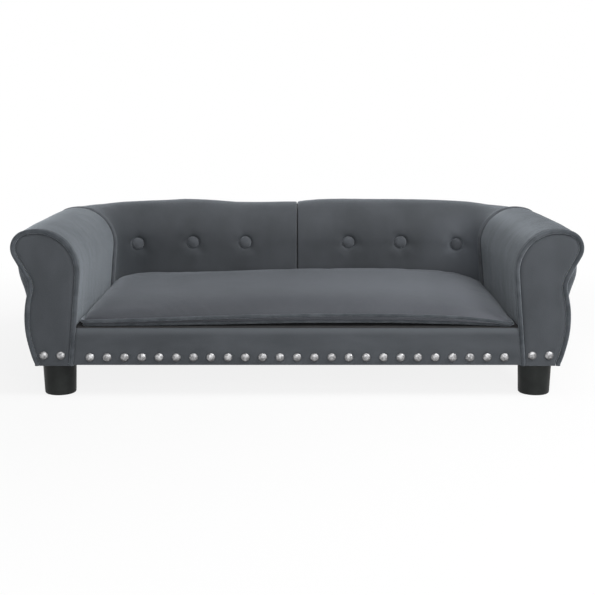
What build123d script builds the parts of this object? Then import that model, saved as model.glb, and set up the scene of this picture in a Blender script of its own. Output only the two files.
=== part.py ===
from build123d import *
import os
from math import asin, atan2, cos, degrees, radians, sin, sqrt

# A small sofa for a dog: a low upholstered bed with scroll arms that run on round the
# rear corners into a buttoned back, a nailed front rail and a loose cushion.
# +X is to the right of someone facing the bed, +Y goes to its back, +Z is up.
# The origin lies on the floor under the middle of the bed. Lengths are millimetres.

# Overall size
width = 950.0
depth = 550.0
height = 285.0
foot_height = 56.0
seat_height = 120.0

# Scroll section of arms and back, seen from the front of the right arm
corner_radius = 50.5
roll_radius = 70.5
nose_radius = 30.8
nose_turn = 18.2
arm_lean = 5.5
belly_reach = 145.4
belly_height = 129.8
belly_radius = 175.0
facing_under_angle = 29.1
facing_waist_radius = 30.0
wrap_under_angle = 12.0
wrap_waist_radius = 300.0
wrap_run = 25.0

# Layers, from the outside in
welt_size = 8.0
welt_proud = 2.0
cover_thickness = 1.2
foam_thickness = 12.0
board_thickness = 12.0
panel_thickness = 3.0
layer_gap = 0.3
facing_thickness = 7.0
facing_round = 3.0
centre_seam = 1.0
overrun = 20.0

# Front rail
rail_setback = 1.0
rail_round = 6.0
rail_end_round = 12.0

# Seat frame
deck_thickness = 9.0
seat_rail_thickness = 18.0
rail_batten = 22.0
block_height = 40.0
block_length = 52.0
block_angle = 44.0
plate_rise = 7.5

# Feet
foot_top_radius = 29.0
foot_bottom_radius = 27.0
foot_edge_round = 2.0
foot_reach = 95.0
foot_front_setback = 35.5
foot_screw_radius = 4.0
foot_screw_length = 66.0
foot_screw_depth = 36.0
screw_gap = 0.1

# Decorative nails
nail_pitch = 29.0
nail_end_room = 20.0
nail_rise = 13.7
nail_head_radius = 7.1
nail_head_rise = 3.6
nail_shank_radius = 1.2
nail_shank_length = 14.0
nail_gap = 0.05
arm_nail_rise = 15.2
arm_nail_reach = 86.2
arm_nail_pitch = 28.5

# Back buttons
button_drop = 9.5
button_shares = (0.333, 0.674)
corner_button_turn = 13.2
button_radius = 13.5
button_rise = 7.0
button_back = 2.0
button_gap = 0.3
dimple_radius = 20.0
dimple_depth = 4.5
dimple_rim = 4.0
tie_radius = 1.0
tie_gap = 0.2
toggle_radius = 7.0
toggle_thickness = 2.0

# Loose cushion
cushion_side_gap = 1.9
cushion_rear_gap = 5.5
cushion_front_setback = 6.0
cushion_lift = 0.3
cushion_rear_round = 52.0
cushion_front_round = 14.0
cushion_bow = 3.0
cushion_welt_size = 5.0
cushion_lower_seam = 7.5
cushion_upper_seam = 22.0
cushion_crown = 38.0
cushion_under_tuck = 16.0
crown_shoulder_share = 0.72
shoulder_run_share = 0.0975
crown_run_share = 0.297
crown_round_share = 0.1
boxing_draw = 1.2

# Zip in the rear of the cushion
zip_end_room = 34.0
zip_tape_width = 9.0
zip_tape_thickness = 0.6
zip_coil_width = 4.0
zip_coil_thickness = 1.4
slider_length = 11.0
slider_width = 7.0
slider_wall = 0.9
slider_gap = 0.25
slider_end_gap = 3.0

# Values that follow from the sizes above
roll_s = corner_radius + roll_radius
roll_z = height - roll_radius
nose_s = roll_s + (roll_radius - nose_radius) * sin(radians(nose_turn))
nose_z = roll_z + (roll_radius - nose_radius) * cos(radians(nose_turn))
roll_reach = nose_s + nose_radius
belly_s = belly_reach - belly_radius
corner_x = width / 2 - roll_reach
corner_y = depth / 2 - roll_reach + welt_proud
front_y = nail_head_rise - rail_setback - depth / 2
welt_radius = welt_size / 2

cover_in = welt_proud + cover_thickness
foam_out = cover_in + layer_gap
foam_in = foam_out + foam_thickness
board_out = foam_in + layer_gap
facing_out = welt_size + layer_gap

board_y = front_y + welt_size + layer_gap
board_back_y = board_y + board_thickness
wrap_front_y = front_y + welt_size + layer_gap
wrap_back_y = corner_y - welt_size - layer_gap
frame_z = foot_height + cover_thickness
deck_top = seat_height - cover_thickness
deck_bottom = deck_top - deck_thickness
above_seat = seat_height + layer_gap

nail_height = foot_height + nail_rise
arm_nail_height = foot_height + arm_nail_rise
button_height = roll_z - button_drop
plate_bottom = roll_z + plate_rise
plate_top = plate_bottom + board_thickness

corner_axis = Axis((corner_x, corner_y, 0), (0, 0, 1))


def inner_face_s(z, inset):
    """Distance out from the corner's axis of the leaning inner face, at a height."""
    lean = radians(arm_lean)
    return roll_s - (roll_radius - inset + sin(lean) * (z - roll_z)) / cos(lean)


def outer_face_s(z, inset):
    """The same for the rounded belly on the outer face."""
    return belly_s + sqrt((belly_radius - inset) ** 2 - (z - belly_height) ** 2)


def scroll_outline(inset, bottom, under_angle, waist_radius, closed=True):
    """Lines and arcs of the scroll section, tangent to each other, drawn in by inset."""
    under = radians(under_angle)
    out_s, out_z = cos(under), -sin(under)
    roll_r, nose_r = roll_radius - inset, nose_radius - inset
    belly_r, waist_r = belly_radius - inset, waist_radius + inset

    line_offset = out_s * nose_s + out_z * nose_z + nose_radius + waist_radius
    across = line_offset - (out_s * belly_s + out_z * belly_height)
    along = sqrt((belly_radius + waist_radius) ** 2 - across**2)
    waist_s = belly_s + out_s * across - out_z * along
    waist_z = belly_height + out_z * across + out_s * along
    waist_end = degrees(atan2(belly_height - waist_z, belly_s - waist_s)) % 360
    belly_start = waist_end - 180
    belly_end = degrees(asin((bottom - belly_height) / belly_r))

    lean = radians(arm_lean)
    foot_in = (inner_face_s(bottom, inset), bottom)
    foot_out = (outer_face_s(bottom, inset), bottom)
    roll_start = (roll_s - roll_r * cos(lean), roll_z - roll_r * sin(lean))
    nose_end = (nose_s + nose_r * out_s, nose_z + nose_r * out_z)
    waist_start = (waist_s - waist_r * out_s, waist_z - waist_r * out_z)
    Line(foot_in, roll_start)
    CenterArc((roll_s, roll_z), roll_r, 180 + arm_lean, -(90 + arm_lean + nose_turn))
    CenterArc((nose_s, nose_z), nose_r, 90 - nose_turn, -(90 - nose_turn + under_angle))
    Line(nose_end, waist_start)
    CenterArc((waist_s, waist_z), waist_r, 180 - under_angle, waist_end - 180 + under_angle)
    CenterArc((belly_s, belly_height), belly_r, belly_start, belly_end - belly_start)
    if closed:
        Line(foot_out, foot_in)


def facing_outline(inset, bottom, closed=True):
    scroll_outline(inset, bottom, facing_under_angle, facing_waist_radius, closed)


def wrap_outline(inset, bottom, closed=True):
    scroll_outline(inset, bottom, wrap_under_angle, wrap_waist_radius, closed)


def arm_plane(y):
    """Section plane of the right arm: distance from the corner's axis, and height."""
    return Plane(origin=(corner_x, y, 0), x_dir=(1, 0, 0), z_dir=(0, -1, 0))


def back_plane(x):
    """Section plane of the right half of the back."""
    return Plane(origin=(x, corner_y, 0), x_dir=(0, 1, 0), z_dir=(1, 0, 0))


def save(part, name):
    part.label = name
    export_step(part, f"parts/{name}.step")


def save_pair(part, name):
    """Write the right-hand piece and its mirror image."""
    save(part, f"{name}_right")
    with BuildPart() as twin:
        mirror(part, about=Plane.YZ)
    save(twin.part, f"{name}_left")


def arm_form(inset, bottom):
    """Right arm as a solid: waisted at its front, filling out along the wrap run."""
    full_y = wrap_front_y + wrap_run
    with BuildPart() as form:
        with BuildSketch(arm_plane(wrap_front_y)):
            with BuildLine():
                facing_outline(inset, bottom)
            make_face()
        with BuildSketch(arm_plane(full_y)):
            with BuildLine():
                wrap_outline(inset, bottom)
            make_face()
        loft(ruled=True)
        with BuildSketch(arm_plane(full_y)):
            with BuildLine():
                wrap_outline(inset, bottom)
            make_face()
        extrude(amount=full_y - wrap_back_y)
    return form.part


def arm_hollow(inset, bottom):
    """The space inside the arm's foam: waisted over the front board, then full."""
    with BuildPart() as form:
        with BuildSketch(arm_plane(wrap_front_y)):
            with BuildLine():
                facing_outline(inset, bottom)
            make_face()
        extrude(amount=wrap_front_y - board_back_y)
        with BuildSketch(arm_plane(board_back_y)):
            with BuildLine():
                wrap_outline(inset, bottom)
            make_face()
        extrude(amount=board_back_y - wrap_back_y)
    return form.part


def below_seat_block():
    """Everything under the seat on the inner side of the right arm and back."""
    reach = inner_face_s(foot_height, board_out) + layer_gap
    with BuildPart() as block:
        with BuildSketch(Plane.XY.offset(foot_height - overrun)) as plan:
            with BuildLine():
                Line((0, front_y), (corner_x + reach, front_y))
                Line((corner_x + reach, front_y), (corner_x + reach, corner_y))
                CenterArc((corner_x, corner_y), reach, 0, 90)
                Line((corner_x, corner_y + reach), (0, corner_y + reach))
                Line((0, corner_y + reach), (0, front_y))
            make_face()
        extrude(amount=above_seat - foot_height + overrun)
    return block.part


def back_form(inset, bottom):
    """Right half of the back with its quarter round corner, as a solid."""
    with BuildPart() as form:
        with BuildSketch(arm_plane(corner_y)):
            with BuildLine():
                wrap_outline(inset, bottom)
            make_face()
        revolve(axis=corner_axis, revolution_arc=90)
        with BuildSketch(back_plane(centre_seam / 2)):
            with BuildLine():
                wrap_outline(inset, bottom)
            make_face()
        extrude(amount=corner_x - centre_seam / 2)
    return form.part


def button_planes():
    """A plane on the back's inner face at each button, its normal into the bed."""
    lean = radians(arm_lean)
    s = inner_face_s(button_height, welt_proud)
    planes = []
    places = [(share * corner_x, 0.0) for share in button_shares]
    places.append((corner_x, radians(corner_button_turn)))
    for x, turn in places:
        out = Vector(sin(turn), cos(turn), 0)
        normal = out * -cos(lean) + Vector(0, 0, -sin(lean))
        origin = Vector(x, corner_y, button_height) + out * s
        planes.append(Plane(origin=origin, x_dir=(cos(turn), -sin(turn), 0), z_dir=normal))
    return planes


def dimples(grow):
    """Cones that draw the cover in round each button, larger by grow."""
    slope = (dimple_radius - button_radius) / dimple_depth
    deep = dimple_depth + grow
    wide = dimple_radius + dimple_rim * slope + grow
    narrow = button_radius + grow
    with BuildPart() as cones:
        for plane in button_planes():
            with BuildSketch(plane.offset(dimple_rim)):
                Circle(wide)
            with BuildSketch(plane.offset(-deep)):
                Circle(narrow)
            loft()
    return cones.part


def tie_holes(radius, reach):
    """Straight holes through cover, foam and panel behind each button."""
    with BuildPart() as holes:
        for plane in button_planes():
            with BuildSketch(plane):
                Circle(radius)
            extrude(amount=-reach)
    return holes.part


tie_reach = board_out - welt_proud + panel_thickness


# Arms
def make_arm_cover():
    with BuildPart() as cover:
        add(arm_form(welt_proud, foot_height))
        add(arm_form(cover_in, foot_height - overrun), mode=Mode.SUBTRACT)
        add(below_seat_block(), mode=Mode.SUBTRACT)
    return cover.part


def make_arm_foam():
    with BuildPart() as foam:
        add(arm_form(foam_out, frame_z))
        add(arm_hollow(foam_in, frame_z - overrun), mode=Mode.SUBTRACT)
        add(below_seat_block(), mode=Mode.SUBTRACT)
    return foam.part


def make_arm_facing():
    with BuildPart() as facing:
        with BuildSketch(arm_plane(board_y - layer_gap)):
            with BuildLine():
                facing_outline(facing_out, foot_height)
            make_face()
        extrude(amount=facing_thickness)
        fillet(facing.faces().sort_by(Axis.Y)[0].edges(), facing_round)
        add(nail_holes(arm_nail_points()), mode=Mode.SUBTRACT)
    return facing.part


def make_front_welt():
    with BuildPart() as welt:
        with BuildLine(arm_plane(front_y + welt_radius)) as path:
            facing_outline(welt_radius, foot_height - welt_size, closed=False)
        with BuildSketch(Plane(origin=path.wire() @ 0, z_dir=path.wire() % 0)):
            Circle(welt_radius)
        sweep(path=path.wire())
        split(bisect_by=Plane.XY.offset(foot_height), keep=Keep.TOP)
    return welt.part


def make_rear_welt():
    with BuildPart() as welt:
        with BuildLine(arm_plane(corner_y - welt_radius)) as path:
            wrap_outline(welt_radius, foot_height - welt_size, closed=False)
        with BuildSketch(Plane(origin=path.wire() @ 0, z_dir=path.wire() % 0)):
            Circle(welt_radius)
        sweep(path=path.wire())
        split(bisect_by=Plane.XY.offset(foot_height), keep=Keep.TOP)
        add(below_seat_block(), mode=Mode.SUBTRACT)
    return welt.part


def arm_board(front, thickness, under_angle, waist_radius):
    """A plywood profile that gives the arm its scroll."""
    with BuildPart() as board:
        with BuildSketch(arm_plane(front + thickness)):
            with BuildLine():
                scroll_outline(board_out, frame_z, under_angle, waist_radius)
            make_face()
        extrude(amount=thickness)
    return board.part


def nail_holes(points):
    """Holes for the nails' shanks, through cover, pad and board."""
    with BuildPart() as holes:
        with BuildSketch(Plane.XZ.offset(-front_y - overrun)):
            with Locations(*points):
                Circle(nail_shank_radius + nail_gap)
        extrude(amount=2 * overrun)
    return holes.part


def arm_nail_points():
    first = corner_x + arm_nail_reach
    return [(first + step, arm_nail_height) for step in (0, arm_nail_pitch)]


def rail_nail_points():
    room = corner_x + inner_face_s(nail_height, 0) - nail_end_room
    each_side = int(room // nail_pitch)
    return [(k * nail_pitch, nail_height) for k in range(-each_side, each_side + 1)]


def make_arm_front_board():
    with BuildPart() as board:
        add(arm_board(board_y, board_thickness, facing_under_angle, facing_waist_radius))
        add(nail_holes(arm_nail_points()), mode=Mode.SUBTRACT)
    return board.part


def make_arm_rear_board():
    rear_y = corner_y - board_thickness
    return arm_board(rear_y, board_thickness, wrap_under_angle, wrap_waist_radius)


def make_arm_panel():
    """Thin panel behind the foam of the arm's inner face."""
    with BuildPart() as panel:
        with BuildSketch(arm_plane(corner_y - board_thickness)):
            with BuildLine():
                panel_outline()
            make_face()
        extrude(amount=corner_y - board_thickness - board_back_y)
    return panel.part


def panel_outline():
    top = roll_z - (roll_radius - board_out) * sin(radians(arm_lean))
    deep = board_out + panel_thickness
    Polyline(
        (inner_face_s(above_seat, board_out), above_seat),
        (inner_face_s(top, board_out), top),
        (inner_face_s(top, deep), top),
        (inner_face_s(above_seat, deep), above_seat),
        close=True,
    )


def make_arm_top_rail():
    """Batten in the roll, from the front board to the rear board."""
    with BuildPart() as rail:
        with BuildSketch(arm_plane(corner_y - board_thickness)):
            with Locations((nose_s - rail_batten, nose_z)):
                Rectangle(rail_batten, rail_batten)
        extrude(amount=corner_y - board_thickness - board_back_y)
    return rail.part


def base_rail_s():
    """Middle of the outer base rail, which stands inside the foam's foot."""
    return outer_face_s(frame_z, board_out) - rail_batten / 2


def make_arm_base_rails():
    with BuildPart() as rails:
        with BuildSketch(arm_plane(corner_y - board_thickness)):
            with Locations((base_rail_s(), frame_z + block_height + rail_batten / 2)):
                Rectangle(rail_batten, rail_batten)
        extrude(amount=corner_y - board_thickness - board_back_y)
        mirror(about=Plane.YZ)
    return rails.part


# Back
def make_back_cover():
    with BuildPart() as hollow:
        add(back_form(cover_in, foot_height - overrun))
        add(dimples(cover_thickness), mode=Mode.SUBTRACT)
    with BuildPart() as cover:
        add(back_form(welt_proud, foot_height))
        add(dimples(0), mode=Mode.SUBTRACT)
        add(hollow.part, mode=Mode.SUBTRACT)
        add(below_seat_block(), mode=Mode.SUBTRACT)
        add(tie_holes(tie_radius + tie_gap, tie_reach), mode=Mode.SUBTRACT)
    return cover.part


def make_back_foam():
    with BuildPart() as foam:
        add(back_form(foam_out, frame_z))
        add(dimples(cover_thickness + layer_gap), mode=Mode.SUBTRACT)
        add(back_form(foam_in, frame_z - overrun), mode=Mode.SUBTRACT)
        add(below_seat_block(), mode=Mode.SUBTRACT)
        add(tie_holes(tie_radius + tie_gap, tie_reach), mode=Mode.SUBTRACT)
    return foam.part


def make_back_posts():
    """Three profiles that stand inside the back: two at the corners, one in the middle."""
    with BuildPart() as posts:
        for x in (-corner_x, -board_thickness / 2, corner_x - board_thickness):
            with BuildSketch(back_plane(x)):
                with BuildLine():
                    wrap_outline(board_out, frame_z)
                make_face()
            extrude(amount=board_thickness)
        add(seat_frame_block(), mode=Mode.SUBTRACT)
    return posts.part


def post_span():
    """Start and length of the free run between the middle post and the corner post."""
    start = board_thickness / 2
    return start, corner_x - board_thickness - start


def make_back_rails(s, z):
    start, length = post_span()
    with BuildPart() as rails:
        with BuildSketch(back_plane(start)):
            with Locations((s, z)):
                Rectangle(rail_batten, rail_batten)
        extrude(amount=length)
        mirror(about=Plane.YZ)
    return rails.part


def make_back_panels():
    start, length = post_span()
    with BuildPart() as panels:
        with BuildSketch(back_plane(start)):
            with BuildLine():
                panel_outline()
            make_face()
        extrude(amount=length)
        add(tie_holes(tie_radius + tie_gap, tie_reach + overrun), mode=Mode.SUBTRACT)
        mirror(about=Plane.YZ)
    return panels.part


def make_corner_panel():
    with BuildPart() as panel:
        with BuildSketch(arm_plane(corner_y)):
            with BuildLine():
                panel_outline()
            make_face()
        revolve(axis=corner_axis, revolution_arc=90)
        add(tie_holes(tie_radius + tie_gap, tie_reach + overrun), mode=Mode.SUBTRACT)
    return panel.part


def make_corner_plate():
    """Quarter ring of plywood that joins the arm's rear board to the back's post."""
    reach = sqrt((roll_radius - board_out) ** 2 - (plate_top - roll_z) ** 2)
    near, far = roll_s - reach, nose_s
    with BuildPart() as plate:
        with BuildSketch(arm_plane(corner_y)):
            with Locations(((near + far) / 2, (plate_bottom + plate_top) / 2)):
                Rectangle(far - near, board_thickness)
        revolve(axis=corner_axis, revolution_arc=90)
    return plate.part


# Seat frame
seat_rail_out = inner_face_s(seat_height, board_out) - layer_gap
seat_rail_in = seat_rail_out - seat_rail_thickness


def seat_plan(reach):
    """Plan of the seat, square at the front and rounded at the rear corners."""
    front = board_back_y + layer_gap
    rear = corner_y + reach
    side = corner_x + reach
    with BuildSketch() as plan:
        with BuildLine():
            Line((-side, front), (side, front))
            Line((side, front), (side, corner_y))
            CenterArc((corner_x, corner_y), reach, 0, 90)
            Line((corner_x, rear), (-corner_x, rear))
            CenterArc((-corner_x, corner_y), reach, 90, 90)
            Line((-side, corner_y), (-side, front))
        make_face()
    return plan.sketch


def seat_frame_block():
    """The space that the seat's own frame takes, which the posts stand clear of."""
    with BuildPart() as block:
        with BuildSketch(Plane.XY):
            add(seat_plan(seat_rail_out + layer_gap))
        extrude(amount=above_seat)
    return block.part


def make_seat_deck():
    with BuildPart() as deck:
        with BuildSketch(Plane.XY.offset(deck_bottom)):
            add(seat_plan(seat_rail_out))
        extrude(amount=deck_thickness)
    return deck.part


def make_deck_lining():
    with BuildPart() as lining:
        with BuildSketch(Plane.XY.offset(deck_top)):
            add(seat_plan(seat_rail_out))
        extrude(amount=cover_thickness)
    return lining.part


def make_side_rail():
    with BuildPart() as rail:
        with BuildSketch(Plane.XY.offset(frame_z)):
            start = board_back_y + layer_gap
            middle = corner_x + (seat_rail_in + seat_rail_out) / 2
            with Locations((middle, (start + corner_y) / 2)):
                Rectangle(seat_rail_thickness, corner_y - start)
        extrude(amount=deck_bottom - frame_z)
    return rail.part


def make_corner_rail():
    """Bent plywood that carries the rounded corner of the deck."""
    with BuildPart() as rail:
        with BuildSketch(arm_plane(corner_y)):
            middle = (seat_rail_in + seat_rail_out) / 2
            with Locations((middle, (frame_z + deck_bottom) / 2)):
                Rectangle(seat_rail_thickness, deck_bottom - frame_z)
        revolve(axis=corner_axis, revolution_arc=90)
    return rail.part


def make_rear_rail():
    with BuildPart() as rail:
        with BuildSketch(Plane.XY.offset(frame_z)):
            with Locations((0, corner_y + (seat_rail_in + seat_rail_out) / 2)):
                Rectangle(2 * corner_x, seat_rail_thickness)
        extrude(amount=deck_bottom - frame_z)
    return rail.part


# Front rail
def rail_form(inset, back_y):
    """Front rail between the arms, its ends leaning with them."""
    low, high = foot_height + inset, seat_height - inset
    side = inset + layer_gap
    near = front_y + rail_setback + inset
    with BuildPart() as form:
        with BuildSketch(Plane.YZ.offset(-width / 2)):
            with BuildLine():
                Polyline((near, low), (back_y, low), (back_y, high), (near, high), close=True)
            make_face()
            fillet(vertices().group_by(Axis.X)[0], rail_round - inset)
        extrude(amount=width)
        with BuildSketch(Plane.XZ.offset(-back_y - overrun)) as ends:
            with BuildLine():
                low_x = corner_x + inner_face_s(low, 0) - side
                high_x = corner_x + inner_face_s(high, 0) - side
                Polyline((-low_x, low), (low_x, low), (high_x, high), (-high_x, high), close=True)
            make_face()
            fillet(ends.vertices().group_by(Axis.Y)[-1], rail_end_round - inset)
        extrude(amount=depth, mode=Mode.INTERSECT)
    return form.part


rail_back_y = board_back_y


def make_rail_cover():
    with BuildPart() as cover:
        add(rail_form(0, rail_back_y))
        add(rail_form(cover_thickness, rail_back_y + overrun), mode=Mode.SUBTRACT)
        add(nail_holes(rail_nail_points()), mode=Mode.SUBTRACT)
    return cover.part


def rail_slab(near, far):
    inset = cover_thickness + layer_gap
    with BuildPart() as slab:
        add(rail_form(inset, rail_back_y))
        with BuildSketch(Plane.XY):
            with Locations((0, (near + far) / 2)):
                Rectangle(width, far - near)
        extrude(amount=height, mode=Mode.INTERSECT)
        add(nail_holes(rail_nail_points()), mode=Mode.SUBTRACT)
    return slab.part


# Feet
def foot_points():
    """Middles of the two right-hand feet: one under the arm, one under the corner."""
    corner_run = foot_reach * cos(radians(45))
    front = (corner_x + foot_reach, front_y + foot_front_setback)
    rear = (corner_x + corner_run, corner_y + corner_run)
    return {"front": front, "rear": rear}


def make_foot(point):
    with BuildPart() as foot:
        with BuildSketch(Plane.XY):
            with Locations(point):
                Circle(foot_bottom_radius)
        with BuildSketch(Plane.XY.offset(foot_height)):
            with Locations(point):
                Circle(foot_top_radius)
        loft()
        fillet(foot.edges().group_by(Axis.Z)[0], foot_edge_round)
        with Locations(Plane.XY.offset(foot_height)):
            with Locations(point):
                Hole(foot_screw_radius + screw_gap, depth=foot_screw_depth)
    return foot.part


def make_foot_screws():
    bottom = foot_height - foot_screw_depth + screw_gap
    with BuildPart() as screws:
        with BuildSketch(Plane.XY.offset(bottom)):
            with Locations(*foot_points().values()):
                Circle(foot_screw_radius)
        extrude(amount=foot_screw_length)
        mirror(about=Plane.YZ)
    return screws.part


def screw_bores():
    with BuildPart() as bores:
        with BuildSketch(Plane.XY):
            with Locations(*foot_points().values()):
                Circle(foot_screw_radius + screw_gap)
        extrude(amount=height)
        mirror(about=Plane.YZ)
    return bores.part


def make_foot_blocks():
    """Blocks behind the arms' front boards and in the corners, that the feet screw into."""
    near = seat_rail_out + layer_gap
    far = outer_face_s(frame_z, board_out)
    with BuildPart() as blocks:
        with BuildSketch(Plane.XY.offset(frame_z)):
            with Locations((corner_x + (near + far) / 2, board_back_y + block_length / 2)):
                Rectangle(far - near, block_length)
            with BuildLine():
                first = 45 - block_angle / 2
                inner = CenterArc((corner_x, corner_y), near, first, block_angle)
                outer = CenterArc((corner_x, corner_y), far, first, block_angle)
                Line(inner @ 0, outer @ 0)
                Line(inner @ 1, outer @ 1)
            make_face()
        extrude(amount=block_height)
        mirror(about=Plane.YZ)
        add(screw_bores(), mode=Mode.SUBTRACT)
    return blocks.part


def make_dust_cover():
    """Black cloth stapled under the frame."""
    with BuildPart() as cloth:
        with BuildSketch(Plane.XY.offset(foot_height)):
            add(seat_plan(outer_face_s(frame_z, board_out)))
        extrude(amount=cover_thickness)
        add(screw_bores(), mode=Mode.SUBTRACT)
    return cloth.part


# Nails and buttons
def make_nail():
    """One nail along +Y from its head's rim, which the head's dome stands in front of."""
    ball = (nail_head_radius**2 + nail_head_rise**2) / (2 * nail_head_rise)
    rim = degrees(asin(nail_head_radius / ball))
    with BuildPart() as nail:
        with BuildSketch(Plane.XY):
            with BuildLine():
                CenterArc((0, ball - nail_head_rise), ball, -90, rim)
                Polyline(
                    (nail_head_radius, 0),
                    (nail_shank_radius, 0),
                    (nail_shank_radius, nail_shank_length),
                    (0, nail_shank_length),
                    (0, -nail_head_rise),
                )
            make_face()
        revolve(axis=Axis.Y)
    return nail.part


def make_rail_nails():
    cover_y = front_y + rail_setback
    with BuildPart() as nails:
        with Locations(*[(x, cover_y, z) for x, z in rail_nail_points()]):
            add(make_nail())
    return nails.part


def make_arm_nails():
    facing_y = board_y - layer_gap - facing_thickness
    with BuildPart() as nails:
        with Locations(*[(x, facing_y, z) for x, z in arm_nail_points()]):
            add(make_nail())
        mirror(about=Plane.YZ)
    return nails.part


def make_button():
    """A covered button: domed face, thin back, seated in its dimple."""
    rise = button_rise - button_back
    radius = button_radius - button_gap
    ball = (radius**2 + rise**2) / (2 * rise)
    rim = degrees(asin(radius / ball))
    with BuildPart() as button:
        with BuildSketch(Plane.XZ):
            with BuildLine():
                CenterArc((0, button_rise - ball), ball, 90 - rim, rim)
                Polyline(
                    (radius, button_back), (radius, 0), (0, 0), (0, button_rise)
                )
            make_face()
        revolve(axis=Axis.Z)
    return button.part


def make_back_buttons():
    seats = [plane.offset(button_gap - dimple_depth) for plane in button_planes()]
    with BuildPart() as buttons:
        with Locations(*seats):
            add(make_button())
    return buttons.part


def make_button_ties():
    """Twine from each button to a toggle behind the panel."""
    length = tie_reach - dimple_depth + button_gap
    with BuildPart() as tie:
        with BuildSketch(Plane.XY):
            Circle(tie_radius)
        extrude(amount=-length)
        with BuildSketch(Plane.XY.offset(-length)):
            Circle(toggle_radius)
        extrude(amount=-toggle_thickness)
    seats = [plane.offset(button_gap - dimple_depth) for plane in button_planes()]
    with BuildPart() as ties:
        with Locations(*seats):
            add(tie.part)
        mirror(about=Plane.YZ)
    return ties.part


# Loose cushion
cushion_bottom = seat_height + cushion_lift
lower_seam_z = seat_height + cushion_lower_seam
upper_seam_z = seat_height + cushion_upper_seam
crown_z = seat_height + cushion_crown
cushion_welt_radius = cushion_welt_size / 2
seam_inset = cushion_welt_size + layer_gap
cushion_front_y = front_y + cushion_front_setback
cushion_rear_y = corner_y + inner_face_s(upper_seam_z, welt_proud) - cushion_rear_gap
cushion_side = corner_x + inner_face_s(upper_seam_z, 0) - cushion_side_gap
cushion_length = cushion_rear_y - cushion_front_y


def cushion_plan(inset):
    """Plan of the cushion with its sides and front drawn in between the corners."""
    side = cushion_side - inset
    front, rear = cushion_front_y + inset, cushion_rear_y - inset
    middle = (front + rear) / 2
    with BuildSketch() as plan:
        with BuildLine():
            ThreePointArc((-side, front), (0, front + cushion_bow), (side, front))
            ThreePointArc((side, front), (side - cushion_bow, middle), (side, rear))
            Line((side, rear), (-side, rear))
            ThreePointArc((-side, rear), (cushion_bow - side, middle), (-side, front))
        make_face()
        grow = crown_round_share * inset
        fillet(plan.vertices().group_by(Axis.Y)[0], cushion_front_round + grow)
        fillet(plan.vertices().group_by(Axis.Y)[-1], cushion_rear_round + grow)
    return plan.sketch


def cushion_form(shrink):
    """Cushion as a solid: tucked under, drawn in between its welts and crowned on top."""
    edge = seam_inset + shrink
    shoulder_z = upper_seam_z + crown_shoulder_share * (crown_z - upper_seam_z)
    middle_z = (lower_seam_z + upper_seam_z) / 2
    under = [(cushion_bottom + shrink, edge + cushion_under_tuck), (lower_seam_z, edge)]
    boxing = [(lower_seam_z, edge), (middle_z, edge + boxing_draw), (upper_seam_z, edge)]
    crown = [
        (upper_seam_z, edge),
        (shoulder_z - shrink, edge + shoulder_run_share * cushion_length),
        (crown_z - shrink, edge + crown_run_share * cushion_length),
    ]
    with BuildPart() as form:
        for rows in (under, boxing, crown):
            for z, inset in rows:
                with BuildSketch(Plane.XY.offset(z)):
                    add(cushion_plan(inset))
            loft()
    return form.part


zip_length = 2 * (cushion_side - cushion_rear_round - zip_end_room)
zip_seat_y = cushion_rear_y - seam_inset - boxing_draw
zip_z = (lower_seam_z + upper_seam_z) / 2


def zip_block(length, breadth, near, far):
    """A plain block on the cushion's rear edge, centred on the zip."""
    with BuildPart() as block:
        with BuildSketch(Plane.XZ.offset(-near)):
            with Locations((0, zip_z)):
                Rectangle(length, breadth)
        extrude(amount=near - far)
    return block.part


def make_cushion_cover():
    with BuildPart() as cover:
        add(cushion_form(0))
        add(cushion_form(cover_thickness), mode=Mode.SUBTRACT)
        tape = (zip_length + 2 * layer_gap, zip_tape_width + 2 * layer_gap)
        add(zip_block(*tape, zip_seat_y, cushion_rear_y), mode=Mode.SUBTRACT)
    return cover.part


def make_cushion_foam():
    return cushion_form(cover_thickness + layer_gap)


def make_cushion_welt(z):
    inset = cushion_welt_radius
    with BuildPart() as welt:
        path = Plane.XY.offset(z) * cushion_plan(inset).wire()
        with BuildSketch(Plane(origin=path @ 0, z_dir=path % 0)):
            Circle(cushion_welt_radius)
        sweep(path=path)
    return welt.part


def make_zip_chain():
    """Tape and coil of the closed zip."""
    tape_y = zip_seat_y + zip_tape_thickness
    with BuildPart() as chain:
        add(zip_block(zip_length, zip_tape_width, zip_seat_y, tape_y))
        add(zip_block(zip_length, zip_coil_width, tape_y, tape_y + zip_coil_thickness))
    return chain.part


slider_start_x = slider_end_gap + (slider_length - zip_length) / 2


def make_zip_slider():
    """Slider without a pull: a channel that rides on the coil."""
    near = zip_seat_y + zip_tape_thickness + slider_gap
    coil = zip_seat_y + zip_tape_thickness + zip_coil_thickness + slider_gap
    groove = zip_coil_width + 2 * slider_gap
    with BuildPart() as slider:
        add(zip_block(slider_length, slider_width, near, coil + slider_wall))
        fillet(slider.edges().filter_by(Axis.Y), slider_wall)
        add(zip_block(slider_length, groove, near, coil), mode=Mode.SUBTRACT)
    with BuildPart() as placed:
        with Locations((slider_start_x, 0, 0)):
            add(slider.part)
    return placed.part


# Writing the pieces
os.makedirs("parts", exist_ok=True)

save_pair(make_arm_cover(), "arm_cover")
save_pair(make_arm_facing(), "arm_facing")
save_pair(make_front_welt(), "arm_front_welt")
save_pair(make_rear_welt(), "arm_rear_welt")
save_pair(make_arm_foam(), "arm_foam")
save_pair(make_arm_front_board(), "arm_front_board")
save_pair(make_arm_rear_board(), "arm_rear_board")
save_pair(make_arm_panel(), "arm_panel")
save_pair(make_arm_top_rail(), "arm_top_rail")
save(make_arm_base_rails(), "arm_base_rails")

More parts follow.
